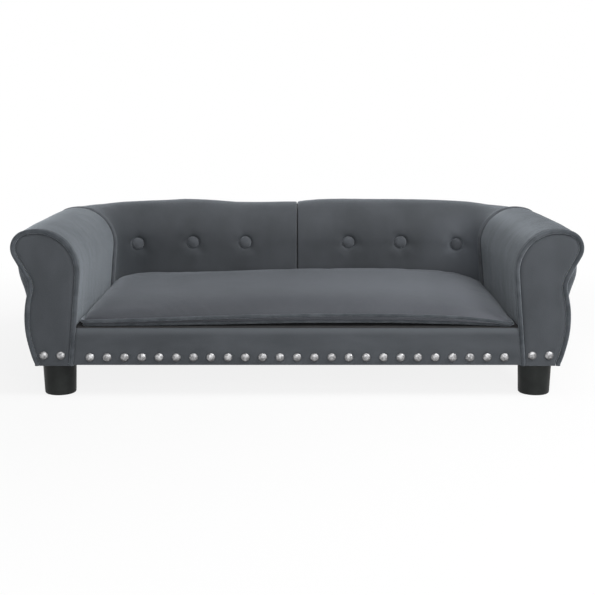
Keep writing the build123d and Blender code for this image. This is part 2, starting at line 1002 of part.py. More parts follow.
save_pair(make_back_cover(), "back_cover")
save_pair(make_back_foam(), "back_foam")
save_pair(make_back_buttons(), "back_buttons")
save(make_button_ties(), "button_ties")
save_pair(make_corner_panel(), "corner_panel")
save_pair(make_corner_plate(), "corner_plate")
save(make_back_posts(), "back_posts")
save(make_back_panels(), "back_panels")
save(make_back_rails(nose_s - rail_batten, nose_z), "back_top_rails")
save(make_back_rails(base_rail_s(), frame_z + rail_batten / 2), "back_base_rails")

save(make_rail_cover(), "front_rail_cover")
save(rail_slab(front_y, board_y - layer_gap), "front_rail_pad")
save(rail_slab(board_y, rail_back_y), "front_rail_board")
save(make_rail_nails(), "front_rail_nails")
save(make_arm_nails(), "arm_nails")

save(make_seat_deck(), "seat_deck")
save(make_deck_lining(), "deck_lining")
save_pair(make_side_rail(), "side_rail")
save_pair(make_corner_rail(), "corner_rail")
save(make_rear_rail(), "rear_rail")
save(make_foot_blocks(), "foot_blocks")
save(make_foot_screws(), "foot_screws")
save(make_dust_cover(), "dust_cover")
for end, point in foot_points().items():
    save_pair(make_foot(point), f"foot_{end}")

save(make_cushion_cover(), "cushion_cover")
save(make_cushion_foam(), "cushion_foam")
save(make_cushion_welt(upper_seam_z), "cushion_upper_welt")
save(make_cushion_welt(lower_seam_z), "cushion_lower_welt")
save(make_zip_chain(), "cushion_zip")
save(make_zip_slider(), "zip_slider")
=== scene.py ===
# %% [markdown]
# A small sofa for a dog, dressed over its construction model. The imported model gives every
# piece's place and size. This script adds what the eye sees: velvet with its nap, piping,
# buttoned padding, hammered nail heads and a loose cushion that is inflated as cloth.

# %% Load the frame
import math

import bmesh
import bpy
import numpy as np
from mathutils.geometry import delaunay_2d_cdt
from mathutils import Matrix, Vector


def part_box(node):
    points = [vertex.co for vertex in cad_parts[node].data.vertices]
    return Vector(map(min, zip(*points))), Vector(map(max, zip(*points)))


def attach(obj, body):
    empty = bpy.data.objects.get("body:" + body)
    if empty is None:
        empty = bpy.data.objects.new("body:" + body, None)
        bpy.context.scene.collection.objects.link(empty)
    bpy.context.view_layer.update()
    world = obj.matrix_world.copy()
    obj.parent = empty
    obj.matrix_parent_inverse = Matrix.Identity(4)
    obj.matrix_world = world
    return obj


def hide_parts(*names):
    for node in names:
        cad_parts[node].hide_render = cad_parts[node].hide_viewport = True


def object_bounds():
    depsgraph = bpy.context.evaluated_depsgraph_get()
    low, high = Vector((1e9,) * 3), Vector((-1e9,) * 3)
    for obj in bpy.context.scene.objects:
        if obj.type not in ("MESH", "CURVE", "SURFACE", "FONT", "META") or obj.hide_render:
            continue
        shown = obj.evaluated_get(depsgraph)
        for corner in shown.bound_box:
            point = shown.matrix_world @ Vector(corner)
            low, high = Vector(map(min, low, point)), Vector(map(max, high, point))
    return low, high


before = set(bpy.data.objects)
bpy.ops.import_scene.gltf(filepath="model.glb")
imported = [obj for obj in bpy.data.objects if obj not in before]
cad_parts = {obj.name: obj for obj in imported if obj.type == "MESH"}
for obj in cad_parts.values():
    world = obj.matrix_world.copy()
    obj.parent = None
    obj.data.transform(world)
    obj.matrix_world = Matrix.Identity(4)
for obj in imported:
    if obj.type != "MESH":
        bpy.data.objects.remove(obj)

cad_low, cad_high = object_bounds()
MM = 0.001
HALVES = ((-1, "left"), (1, "right"))

# %% [markdown]
# The camera comes first, because every piece is judged through it. The reference was
# matched with one lens: a long focal length, a little above the bed and tilted down by ten
# degrees, so that both arm fronts show and the cushion's top is seen at a low angle.

# %% Camera
CAMERA_DISTANCE = 1881.0 * MM
CAMERA_HEIGHT = 502.9 * MM
CAMERA_SIDE = 0.6 * MM
CAMERA_TILT = math.radians(80.0)
SENSOR_WIDTH = 36.0
FOCAL_SHARE = 1150.4 / 595.0
CAMERA_SIGHT = 50.0


def add_object(name, data):
    """A new object in the scene, at the origin."""
    piece = bpy.data.objects.new(name, data)
    bpy.context.scene.collection.objects.link(piece)
    return piece


def make_camera():
    """A camera in front of the bed, at the reference's viewing angle."""
    data = bpy.data.cameras.new("camera")
    data.sensor_width = SENSOR_WIDTH
    data.lens = SENSOR_WIDTH * FOCAL_SHARE
    data.clip_end = CAMERA_SIGHT
    camera = add_object("camera", data)
    camera.location = (CAMERA_SIDE, cad_low.y - CAMERA_DISTANCE, CAMERA_HEIGHT)
    camera.rotation_euler = (CAMERA_TILT, 0.0, 0.0)
    bpy.context.scene.camera = camera


make_camera()
print("lens", round(bpy.context.scene.camera.data.lens, 1), "mm")

# %% [markdown]
# The room is a pale floor that runs on as far as the camera sees, under large soft lamps.
# The key lamp hangs above and to the right, as the bright inner side of the left arm says.
# The white behind the object comes from the floor's own colour for camera rays, so no lamp
# has to burn it out.

# %% Floor and lights
FLOOR_SIZE = 40.0
FLOOR_PAINT = (0.93, 0.93, 0.93, 1.0)
FLOOR_ROUGHNESS = 0.9
FLOOR_WHITE = 0.86
FLOOR_REACH = (0.55, 1.5)
WORLD_STRENGTH = 0.08
WHITE = (1.0, 1.0, 1.0, 1.0)
LAMPS = (
    ("key_lamp", (1.7, -0.9, 1.9), (-0.1, 0.0, 0.15), 1.1, 40.0),
    ("front_lamp", (0.2, -2.8, 1.0), (0.0, 0.0, 0.15), 1.6, 36.0),
    ("top_lamp", (0.4, -0.6, 2.2), (0.0, 0.0, 0.15), 1.8, 13.0),
    ("rear_lamp", (-0.5, 2.9, 1.1), (0.0, 0.0, 0.1), 1.8, 11.0),
)


def node(tree, kind, inputs=None, **settings):
    """Add a node with its settings, and link or set its inputs."""
    made = tree.nodes.new(kind)
    for title, value in settings.items():
        setattr(made, title, value)
    for key, value in (inputs or {}).items():
        if isinstance(value, bpy.types.NodeSocket):
            tree.links.new(value, made.inputs[key])
        else:
            made.inputs[key].default_value = value
    return made


def vectors(tree, operation, *values, **named):
    """The outputs of a Vector Math node over sockets and vectors."""
    inputs = {**dict(enumerate(values)), **named}
    return node(tree, "ShaderNodeVectorMath", inputs, operation=operation).outputs


def maths(tree, operation, *values):
    """A Math node over sockets and numbers."""
    return node(tree, "ShaderNodeMath", dict(enumerate(values)), operation=operation).outputs[0]


def stretch(tree, value, low, high, to_low=0.0, to_high=1.0):
    """Map a value from one range to another, smoothly."""
    inputs = {
        "Value": value, "From Min": low, "From Max": high, "To Min": to_low, "To Max": to_high
    }
    made = node(tree, "ShaderNodeMapRange", inputs, interpolation_type="SMOOTHSTEP")
    return made.outputs["Result"]


def add_lamp(name, place, target, size, watts):
    """A square area lamp that looks at a target."""
    data = bpy.data.lights.new(name, "AREA")
    data.shape = "SQUARE"
    data.size = size
    data.energy = watts
    lamp = add_object(name, data)
    lamp.location = place
    aim = (np.array(target) - np.array(place)).tolist()
    lamp.rotation_euler = Vector(aim).to_track_quat("-Z", "Y").to_euler()


def mostly_white(tree, shader, white, share, end):
    """Show camera and mirrored rays a share of plain white instead of the shader."""
    path = node(tree, "ShaderNodeLightPath")
    seen = maths(tree, "MAXIMUM", path.outputs["Is Camera Ray"], path.outputs["Is Glossy Ray"])
    if share is not None:
        seen = maths(tree, "MULTIPLY", share, seen)
    mix = node(
        tree, "ShaderNodeMixShader", {0: seen, 1: shader.outputs[0], 2: white.outputs[0]}
    )
    tree.links.new(mix.outputs[0], tree.nodes[end].inputs["Surface"])


def make_floor():
    """A pale floor that turns all white to the camera far from the object."""
    mesh = bpy.data.meshes.new("floor")
    half = FLOOR_SIZE / 2
    corners = [(-half, -half, 0), (half, -half, 0), (half, half, 0), (-half, half, 0)]
    mesh.from_pydata(corners, [], [(0, 1, 2, 3)])
    material = bpy.data.materials.new("floor_paint")
    material.use_nodes = True
    tree = material.node_tree
    shader = tree.nodes["Principled BSDF"]
    shader.inputs["Base Color"].default_value = FLOOR_PAINT
    shader.inputs["Roughness"].default_value = FLOOR_ROUGHNESS
    place = node(tree, "ShaderNodeTexCoord").outputs["Object"]
    share = stretch(tree, vectors(tree, "LENGTH", place)["Value"], *FLOOR_REACH, FLOOR_WHITE)
    white = node(tree, "ShaderNodeEmission")
    mostly_white(tree, shader, white, share, "Material Output")
    mesh.materials.append(material)
    floor = add_object("floor", mesh)


def make_world():
    """A faint even light all round, which the camera sees as white."""
    world = bpy.data.worlds.new("studio")
    world.use_nodes = True
    bpy.context.scene.world = world
    tree = world.node_tree
    background = tree.nodes["Background"]
    background.inputs["Color"].default_value = WHITE
    background.inputs["Strength"].default_value = WORLD_STRENGTH
    white = node(tree, "ShaderNodeBackground", {"Color": WHITE})
    mostly_white(tree, background, white, None, "World Output")


bpy.context.scene.view_settings.view_transform = "Standard"
make_floor()
make_world()
for lamp in LAMPS:
    add_lamp(*lamp)
print("lamps", len(LAMPS))

# %% [markdown]
# Every upholstered form here follows one scroll outline: an inner face that leans in, a
# round roll on top, a tighter nose, a waist and a belly. It is kept as a formula of tangent
# lines and arcs, so that one function serves covers, facings and piping at any depth.

# %% The scroll outline
CORNER_RADIUS = 50.5 * MM
ROLL_RADIUS = 70.5 * MM
NOSE_RADIUS = 30.8 * MM
NOSE_TURN = math.radians(18.2)
ARM_LEAN = math.radians(5.5)
BELLY_REACH = 145.4 * MM
BELLY_HEIGHT = 129.8 * MM
BELLY_RADIUS = 175.0 * MM
FACING_UNDER, FACING_WAIST = math.radians(29.1), 30.0 * MM
WRAP_UNDER, WRAP_WAIST = math.radians(12.0), 300.0 * MM
OUTLINE_COUNTS = (44, 48, 16, 10, 14, 18)
FOOT_OVERLAP = 2.4 * MM

ARM_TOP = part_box("arm_front_welt_right")[1].z
FOOT_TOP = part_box("dust_cover")[0].z
ARM_FOOT = FOOT_TOP - FOOT_OVERLAP
SEAT_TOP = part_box("front_rail_cover")[1].z
ROLL_S = CORNER_RADIUS + ROLL_RADIUS
ROLL_Z = ARM_TOP - ROLL_RADIUS
NOSE_S = ROLL_S + (ROLL_RADIUS - NOSE_RADIUS) * math.sin(NOSE_TURN)
NOSE_Z = ROLL_Z + (ROLL_RADIUS - NOSE_RADIUS) * math.cos(NOSE_TURN)
BELLY_S = BELLY_REACH - BELLY_RADIUS
CORNER_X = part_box("arm_front_welt_right")[1].x - NOSE_S - NOSE_RADIUS
CORNER_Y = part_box("arm_rear_welt_right")[1].y


def inner_s(z, inset):
    """Distance out from the corner's axis of the leaning inner face, at a height."""
    lean = ROLL_RADIUS - inset + math.sin(ARM_LEAN) * (z - ROLL_Z)
    return ROLL_S - lean / math.cos(ARM_LEAN)


def along_line(start, end, count):
    """Even points on a straight run."""
    t = np.linspace(0.0, 1.0, count)[:, None]
    return np.array(start) * (1 - t) + np.array(end) * t


def along_arc(centre, radius, first, last, count):
    """Even points on an arc, between two angles."""
    a = np.linspace(first, last, count)
    return np.column_stack((centre[0] + radius * np.cos(a), centre[1] + radius * np.sin(a)))


def scroll_points(inset, low_in, low_out, under, waist):
    """The outline from its inner foot, over the roll, to its outer foot, with normals."""
    n = np.array((math.cos(under), -math.sin(under)))
    nose, belly = np.array((NOSE_S, NOSE_Z)), np.array((BELLY_S, BELLY_HEIGHT))
    across = n @ nose + NOSE_RADIUS + waist - n @ belly
    along = math.sqrt((BELLY_RADIUS + waist) ** 2 - across**2)
    hollow = belly + n * across + np.array((-n[1], n[0])) * along
    turn = math.atan2(BELLY_HEIGHT - hollow[1], BELLY_S - hollow[0]) % (2 * math.pi)
    belly_r = BELLY_RADIUS - inset
    foot_turn = math.asin((low_out - BELLY_HEIGHT) / belly_r)
    roll_r, nose_r, waist_r = ROLL_RADIUS - inset, NOSE_RADIUS - inset, waist + inset
    lean = np.array((math.cos(ARM_LEAN), math.sin(ARM_LEAN)))
    roll_start = np.array((ROLL_S, ROLL_Z)) - lean * roll_r
    nose_turn = math.pi / 2 - NOSE_TURN
    shapes = (
        (along_line, (inner_s(low_in, inset), low_in), roll_start),
        (along_arc, (ROLL_S, ROLL_Z), roll_r, math.pi + ARM_LEAN, nose_turn),
        (along_arc, nose, nose_r, nose_turn, -under),
        (along_line, nose + n * nose_r, hollow - n * waist_r),
        (along_arc, hollow, waist_r, math.pi - under, turn),
        (along_arc, belly, belly_r, turn - math.pi, foot_turn),
    )
    runs = [make(*values, count) for (make, *values), count in zip(shapes, OUTLINE_COUNTS)]
    points = np.vstack([runs[0]] + [run[1:] for run in runs[1:]])
    step = np.gradient(points, axis=0)
    step /= np.linalg.norm(step, axis=1)[:, None]
    return points, np.column_stack((-step[:, 1], step[:, 0]))


def smooth_step(t):
    """From 0 to 1 with a soft start and end."""
    t = np.clip(t, 0.0, 1.0)
    return t * t * (3 - 2 * t)


FLARE_FROM, FLARE_RUN = 400.0 * MM, 45.0 * MM
FOOT_FLARE, FOOT_FLARE_RISE = 1.7 * MM, 35.0 * MM
RIGHT_FULLNESS, FULLNESS_FROM, FULLNESS_RUN = 1.8 * MM, 200.0 * MM, 30.0 * MM


def flared(x, z):
    """Widths with the arms' outer sides a little fuller low down, the right one more so."""
    outer = smooth_step((abs(x) - FLARE_FROM) / FLARE_RUN)
    low = FOOT_FLARE * (1 - smooth_step((z - ARM_FOOT) / FOOT_FLARE_RISE))
    right = RIGHT_FULLNESS * (1 - smooth_step((z - FULLNESS_FROM) / FULLNESS_RUN)) * (x > 0)
    return x + np.sign(x) * outer * (low + right)


print("corner axis", round(CORNER_X, 4), round(CORNER_Y, 4))

# %% [markdown]
# Meshes are made from rows of points. A grid knows its neighbours, so it can be closed
# into a tube, and its faces are turned outwards by comparing them with known normals.

# %% Mesh helpers
def link_mesh(name, vertices, faces):
    mesh = bpy.data.meshes.new(name)
    mesh.from_pydata([tuple(v) for v in vertices], [], faces)
    mesh.update()
    return add_object(name, mesh)


def bmesh_object(name, mesh):
    """Keep an edited mesh as a new object."""
    data = bpy.data.meshes.new(name)
    mesh.to_mesh(data)
    mesh.free()
    return add_object(name, data)


def grid_faces(rows, columns, round_columns=False, flip=False, first=0):
    """Four-sided faces over a grid of points, its columns joined up when round."""
    faces = []
    last = columns if round_columns else columns - 1
    for r in range(rows - 1):
        for c in range(last):
            d = (c + 1) % columns
            a, b = first + r * columns, first + (r + 1) * columns
            face = (a + c, a + d, b + d, b + c)
            faces.append(face[::-1] if flip else face)
    return faces


def find_border(faces):
    """The directed edges that only one face has."""
    edges = {}
    for face in faces:
        for a, b in zip(face, face[1:] + face[:1]):
            edges[(a, b)] = True
    return [(a, b) for a, b in edges if (b, a) not in edges]


def behind(faces, count):
    """The same faces over the next points, looking the other way."""
    return [tuple(i + count for i in face[::-1]) for face in faces]


def upright(x, y, z):
    """Points at the given widths and heights, all at one depth."""
    return np.column_stack((x, np.full(len(x), y), z))


def soften(piece, level=0, thickness=None):
    """Smooth shading, with a cloth's thickness and a subdivision where they are wanted."""
    piece.data.polygons.foreach_set("use_smooth", [True] * len(piece.data.polygons))
    if thickness:
        solid = piece.modifiers.new("cloth_thickness", "SOLIDIFY")
        solid.thickness = thickness
        solid.offset = -1.0
    if level:
        smooth = piece.modifiers.new("smooth", "SUBSURF")
        smooth.levels = smooth.render_levels = level
    return piece


SAME_PLACE = 0.01 * MM


def outwards(piece):
    """Turn a closed mesh's faces outwards."""
    mesh = bmesh.new()
    mesh.from_mesh(piece.data)
    bmesh.ops.remove_doubles(mesh, verts=mesh.verts, dist=SAME_PLACE)
    bmesh.ops.recalc_face_normals(mesh, faces=mesh.faces)
    mesh.to_mesh(piece.data)
    mesh.free()
    return piece


def slab(name, front, back, faces):
    """A closed sheet from its front points, its back points and its front's faces."""
    count = len(front)
    walls = [(b, a, a + count, b + count) for a, b in find_border(faces)]
    everything = list(faces) + behind(faces, count) + walls
    return soften(outwards(link_mesh(name, np.vstack((front, back)), everything)))


def hand_over(piece, body, slot, material, *nodes):
    """Give a finished piece its finish, its body and the nodes that it stands for."""
    piece.data.materials.clear()
    piece.data.materials.append(material)
    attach(piece, body)
    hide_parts(*nodes)


def second_finish(piece, material, chosen):
    """Give the chosen faces of a piece another finish."""
    piece.data.materials.append(material)
    piece.data.polygons.foreach_set("material_index", chosen.astype(int))


WAVES, WAVE_SPREAD, WAVE_SHARE = 9, (0.6, 1.6), 4.0


def ripple(points, seed, size):
    """Smooth random height from a few crossed waves, about -1 to 1, the same each run."""
    draw = np.random.default_rng(seed)
    height = np.zeros(len(points))
    for _ in range(WAVES):
        direction = draw.normal(size=3)
        direction /= np.linalg.norm(direction)
        wave = 2 * math.pi / (size * draw.uniform(*WAVE_SPREAD))
        height += np.sin(points @ direction * wave + draw.uniform(0, 2 * math.pi))
    return height / WAVE_SHARE

# %% [markdown]
# Velvet is cloth with a short pile. It looks dark where one looks straight into the pile
# and pale where it leans towards the light, so a hand that brushes it leaves streaks. Three
# noises make this: long brush marks, a wide mottle and the pile itself. They sit in one
# group of nodes, because covers, piping and buttons all need them at their own scale.

# %% Shared patterns
def new_group(name, inputs, outputs, tree_kind="ShaderNodeTree"):
    """A group of nodes with named sockets."""
    group = bpy.data.node_groups.new(name, tree_kind)
    for title, kind, value in inputs:
        socket = group.interface.new_socket(title, in_out="INPUT", socket_type=kind)
        if value is not None:
            socket.default_value = value
    for title, kind in outputs:
        group.interface.new_socket(title, in_out="OUTPUT", socket_type=kind)
    return group, group.nodes.new("NodeGroupInput"), group.nodes.new("NodeGroupOutput")


def noise(tree, vector, scale, detail=2.0, roughness=0.5):
    """A noise texture read at a vector."""
    inputs = {"Vector": vector, "Scale": scale, "Detail": detail, "Roughness": roughness}
    return node(tree, "ShaderNodeTexNoise", inputs).outputs["Fac"]


def mix_colour(tree, share, first, second):
    """One colour into another by a share."""
    inputs = {0: share, 6: first, 7: second}
    return node(tree, "ShaderNodeMix", inputs, data_type="RGBA").outputs[2]


COLOUR, VALUE, VECTOR = "NodeSocketColor", "NodeSocketFloat", "NodeSocketVector"
STREAK_RANGE, MOTTLE_RANGE, TUFT_RANGE = (0.3, 0.72), (0.3, 0.7), (0.25, 0.75)
STREAK_SHARE, MOTTLE_SHARE, TUFT_SHARE = 0.45, 0.33, 0.22
PILE_ROUGHNESS, LEAN_SHINE = 0.92, -0.16
STREAK_HEIGHT, TUFT_HEIGHT = 0.8, 0.35
CLOUD_RANGE, FLECK_RANGE = (0.3, 0.7), (0.35, 0.65)


def make_velvet_nap():
    """Brush marks, mottle and pile of a velvet."""
    group, given, out = new_group(
        "velvet_nap",
        [
            ("Brushed Vector", VECTOR, None),
            ("Plain Vector", VECTOR, None),
            ("Into Pile", COLOUR, (0.04, 0.045, 0.05, 1.0)),
            ("Along Pile", COLOUR, (0.1, 0.11, 0.12, 1.0)),
            ("Brush Scale", VALUE, 26.0),
            ("Mottle Scale", VALUE, 9.0),
            ("Pile Scale", VALUE, 1100.0),
        ],
        [("Color", COLOUR), ("Roughness", VALUE), ("Height", VALUE)],
    )
    sockets = given.outputs
    brush = noise(group, sockets["Brushed Vector"], sockets["Brush Scale"], 3.0, 0.55)
    mottle = noise(group, sockets["Plain Vector"], sockets["Mottle Scale"])
    pile = noise(group, sockets["Plain Vector"], sockets["Pile Scale"], 2.0, 0.6)
    streak = stretch(group, brush, *STREAK_RANGE)
    patch = stretch(group, mottle, *MOTTLE_RANGE)
    tuft = stretch(group, pile, *TUFT_RANGE)
    lean = maths(group, "MULTIPLY", streak, STREAK_SHARE)
    lean = maths(group, "MULTIPLY_ADD", patch, MOTTLE_SHARE, lean)
    lean = maths(group, "MULTIPLY_ADD", tuft, TUFT_SHARE, lean)
    colour = mix_colour(group, lean, sockets["Into Pile"], sockets["Along Pile"])
    group.links.new(colour, out.inputs["Color"])
    rough = maths(group, "MULTIPLY_ADD", lean, LEAN_SHINE, PILE_ROUGHNESS)
    group.links.new(rough, out.inputs["Roughness"])
    height = maths(group, "MULTIPLY", tuft, TUFT_HEIGHT)
    height = maths(group, "MULTIPLY_ADD", streak, STREAK_HEIGHT, height)
    group.links.new(height, out.inputs["Height"])
    return group


def make_fleck():
    """Cloudy colour with small flecks and a rough height, for wood, foam, metal and plastic."""
    group, given, out = new_group(
        "fleck",
        [
            ("Cloud Vector", VECTOR, None),
            ("Fleck Vector", VECTOR, None),
            ("Low", COLOUR, (0.1, 0.1, 0.1, 1.0)),
            ("High", COLOUR, (0.2, 0.2, 0.2, 1.0)),
            ("Cloud Scale", VALUE, 20.0),
            ("Fleck Scale", VALUE, 400.0),
            ("Fleck Share", VALUE, 0.3),
            ("Smoothest", VALUE, 0.5),
            ("Roughest", VALUE, 0.8),
        ],
        [("Color", COLOUR), ("Roughness", VALUE), ("Height", VALUE)],
    )
    sockets = given.outputs
    cloud = noise(group, sockets["Cloud Vector"], sockets["Cloud Scale"], 3.0)
    cloud = stretch(group, cloud, *CLOUD_RANGE)
    fleck = noise(group, sockets["Fleck Vector"], sockets["Fleck Scale"])
    fleck = stretch(group, fleck, *FLECK_RANGE)
    rest = maths(group, "SUBTRACT", 1.0, sockets["Fleck Share"])
    both = maths(group, "MULTIPLY", cloud, rest)
    both = maths(group, "MULTIPLY_ADD", fleck, sockets["Fleck Share"], both)
    group.links.new(
        mix_colour(group, both, sockets["Low"], sockets["High"]), out.inputs["Color"]
    )
    spread = maths(group, "SUBTRACT", sockets["Roughest"], sockets["Smoothest"])
    rough = maths(group, "MULTIPLY_ADD", both, spread, sockets["Smoothest"])
    group.links.new(rough, out.inputs["Roughness"])
    group.links.new(both, out.inputs["Height"])
    return group


velvet_nap = make_velvet_nap()
fleck_group = make_fleck()

# %% [markdown]
# A finish is a shader with its own values round one of those groups. The sheen that makes
# velvet glow at its edges belongs to the shader's own sockets. Each velvet has a brushing
# direction, made by squeezing the coordinates before the noise reads them. Patches of
# painted light and painted shade, a lighter or darker tone, fade out round their centres.

# %% Finishes
def finish_base(name):
    """A node material, its tree, shader and plain object coordinates."""
    material = bpy.data.materials.new(name)
    material.use_nodes = True
    tree = material.node_tree
    place = tree.nodes.new("ShaderNodeTexCoord")
    return material, tree, tree.nodes["Principled BSDF"], place.outputs["Object"]


def squeezed(tree, vector, scale):
    """The coordinates stretched by axis, so that a pattern runs along one of them."""
    return node(tree, "ShaderNodeMapping", {"Vector": vector, "Scale": scale}).outputs["Vector"]


def finish_with(tree, shader, colour, group, bump, gloss):
    """Lead a colour, and a group's roughness and height, into the shader."""
    height = {"Height": group.outputs["Height"], "Distance": bump}
    normal = node(tree, "ShaderNodeBump", height).outputs["Normal"]
    rough = group.outputs["Roughness"]
    for title, value in (("Base Color", colour), ("Roughness", rough), ("Normal", normal)):
        tree.links.new(value, shader.inputs[title])
    shader.inputs["Specular IOR Level"].default_value = gloss


def spaced(values):
    """Socket names from names that Python allows."""
    return {title.replace("_", " "): value for title, value in values.items()}


def whole(colour):
    """A colour with its full opacity, as sockets take it."""
    return (*colour, 1.0)


INTO_PILE, ALONG_PILE = (0.035, 0.040, 0.046), (0.09, 0.099, 0.11)
SHEEN_TINT, SHEEN_ROUGHNESS = (0.62, 0.68, 0.74), 0.42
VELVET_GLOSS, VELVET_BUMP = 0.12, 0.45 * MM
PAINTED_LIGHT_SHARE = 0.85
PAINTED_UNDERSIDE_SHADE_RANGE = (-0.6, 0.0)


def velvet(
    name, brushing, into=INTO_PILE, along=ALONG_PILE, sheen=0.75, brush_scale=26.0, painted_light_patches=(),
):
    """A velvet with brush marks along the axis of the smallest value, and patches of painted light
    and shade.
    """
    material, tree, shader, place = finish_base(name)
    inputs = {
        "Brushed Vector": squeezed(tree, place, brushing), "Plain Vector": place,
        "Into Pile": whole(into), "Along Pile": whole(along), "Brush Scale": brush_scale,
    }
    nap = node(tree, "ShaderNodeGroup", inputs, node_tree=velvet_nap)
    colour = nap.outputs["Color"]
    # Each patch mixes a lighter or darker tone into the colour: painted light and painted shade.
    for centre, squeeze, near, far, tone in painted_light_patches:
        gap = vectors(tree, "SUBTRACT", place, centre)["Vector"]
        gap = vectors(tree, "MULTIPLY", gap, squeeze)["Vector"]
        gap = vectors(tree, "LENGTH", gap)["Value"]
        share = stretch(tree, gap, near, far, PAINTED_LIGHT_SHARE, 0.0)
        colour = mix_colour(tree, share, colour, whole(tone))
    finish_with(tree, shader, colour, nap, VELVET_BUMP, VELVET_GLOSS)
    shader.inputs["Sheen Weight"].default_value = sheen
    shader.inputs["Sheen Roughness"].default_value = SHEEN_ROUGHNESS
    shader.inputs["Sheen Tint"].default_value = whole(SHEEN_TINT)
    return material


def speckled(
    name, low, high, squeeze=(1, 1, 1), bump=0.1, metallic=0.0, gloss=0.5, under=None, **values,
):
    """A finish of clouds and flecks, such as wood, foam, plastic or metal, with painted shade on
    downward faces when an under colour is given.
    """
    material, tree, shader, place = finish_base(name)
    inputs = {
        "Cloud Vector": squeezed(tree, place, squeeze), "Fleck Vector": place,
        "Low": whole(low), "High": whole(high), **spaced(values),
    }
    group = node(tree, "ShaderNodeGroup", inputs, node_tree=fleck_group)
    colour = group.outputs["Color"]
    # Painted shade: faces that point downwards take the darker under colour.
    if under:
        facing = node(tree, "ShaderNodeTexCoord").outputs["Normal"]
        up = node(tree, "ShaderNodeSeparateXYZ", {0: facing}).outputs["Z"]
        colour = mix_colour(tree, stretch(tree, up, *PAINTED_UNDERSIDE_SHADE_RANGE), whole(under), colour)
    finish_with(tree, shader, colour, group, bump * MM, gloss)
    shader.inputs["Metallic"].default_value = metallic
    return material


EVEN_INTO, EVEN_ALONG = (0.05, 0.055, 0.061), (0.08, 0.087, 0.097)
SEAT_INTO, SEAT_ALONG = (0.045, 0.047, 0.054), (0.075, 0.079, 0.09)
# Painted shade: the right arm's velvet is a darker copy with less sheen, because that arm's inner
# side faces away from the key lamp.
PAINTED_SHADE_INTO, PAINTED_SHADE_ALONG = (0.028, 0.032, 0.037), (0.07, 0.077, 0.086)
# Painted light: the back's velvet is a lighter copy of the same cloth.
BACK_PAINTED_LIGHT_INTO, BACK_PAINTED_LIGHT_ALONG = (0.058, 0.063, 0.069), (0.092, 0.099, 0.11)
# Painted light: a lighter copy of the velvet for the rear piping and the buttons.
PAINTED_LIGHT_INTO, PAINTED_LIGHT_ALONG = (0.075, 0.081, 0.09), (0.13, 0.14, 0.155)
ROUND, LEVEL = (1.0, 1.0, 1.0), (0.0, 0.0, 1.0)

# Patches of painted light and painted shade: the centre, the squeeze by axis, where the fade
# starts and ends, and the tone.
BACK_PAINTED_LIGHT_AND_SHADE = (
    # Painted light: the back's right inner corner, which lies in shade, made lighter.
    ((0.352, 0.145, 0.18), ROUND, 0.0, 0.12, (0.15, 0.164, 0.184)),
    # Painted shade: the back's left corner made darker.
    ((-0.352, 0.145, 0.18), ROUND, 0.02, 0.12, (0.046, 0.051, 0.057)),
)
# Painted light: the seat made lighter towards its right, and along the right arm where the arm
# shades it.
SEAT_PAINTED_LIGHT = (
    ((0.26, -0.14, 0.15), ROUND, 0.0, 0.42, (0.098, 0.104, 0.118)),
    ((0.345, -0.13, 0.14), (1.0, 0.3, 1.0), 0.02, 0.1, (0.16, 0.168, 0.19)),
)
# Painted highlight: the rail's top few millimetres made lighter, as though they caught the light.
RAIL_PAINTED_HIGHLIGHT = ((0.0, 0.0, 0.12), LEVEL, 0.004, 0.015, (0.098, 0.107, 0.118))
arm_velvets = {
    -1: velvet("arm_velvet", (1.0, 1.0, 0.16)),
    # The right arm takes the darker copy: painted shade.
    1: velvet("arm_velvet_shady", (1.0, 1.0, 0.16), PAINTED_SHADE_INTO, PAINTED_SHADE_ALONG, sheen=0.54),
}
facing_velvet = velvet("facing_velvet", (1.0, 1.0, 0.5), EVEN_INTO, EVEN_ALONG, brush_scale=14.0)
back_velvet = velvet(
    "back_velvet", (1.0, 1.0, 0.6), BACK_PAINTED_LIGHT_INTO, BACK_PAINTED_LIGHT_ALONG, brush_scale=12.0,
    painted_light_patches=BACK_PAINTED_LIGHT_AND_SHADE,
)
rail_velvet = velvet(
    "rail_velvet", (0.3, 1.0, 1.0), EVEN_INTO, EVEN_ALONG, painted_light_patches=(RAIL_PAINTED_HIGHLIGHT,)
)
seat_velvet = velvet(
    "seat_velvet", (0.4, 0.3, 1.0), SEAT_INTO, SEAT_ALONG, sheen=0.4, brush_scale=16.0,
    painted_light_patches=SEAT_PAINTED_LIGHT,
)
piping_velvet = velvet("piping_velvet", (1.0, 1.0, 1.0), brush_scale=60.0)
# The rear piping and the buttons take the lighter copy: painted light.
rear_piping_velvet = velvet(
    "rear_piping_velvet", (1.0, 1.0, 1.0), PAINTED_LIGHT_INTO, PAINTED_LIGHT_ALONG, brush_scale=60.0
)
button_velvet = velvet(
    "button_velvet", (1.0, 1.0, 1.0), PAINTED_LIGHT_INTO, PAINTED_LIGHT_ALONG, brush_scale=60.0
)
foot_plastic = speckled(
    "foot_plastic", (0.010, 0.0112, 0.0108), (0.020, 0.0222, 0.0215), bump=0.05,
    gloss=0.16, Cloud_Scale=40.0, Fleck_Scale=1500.0, Smoothest=0.42, Roughest=0.6,
)
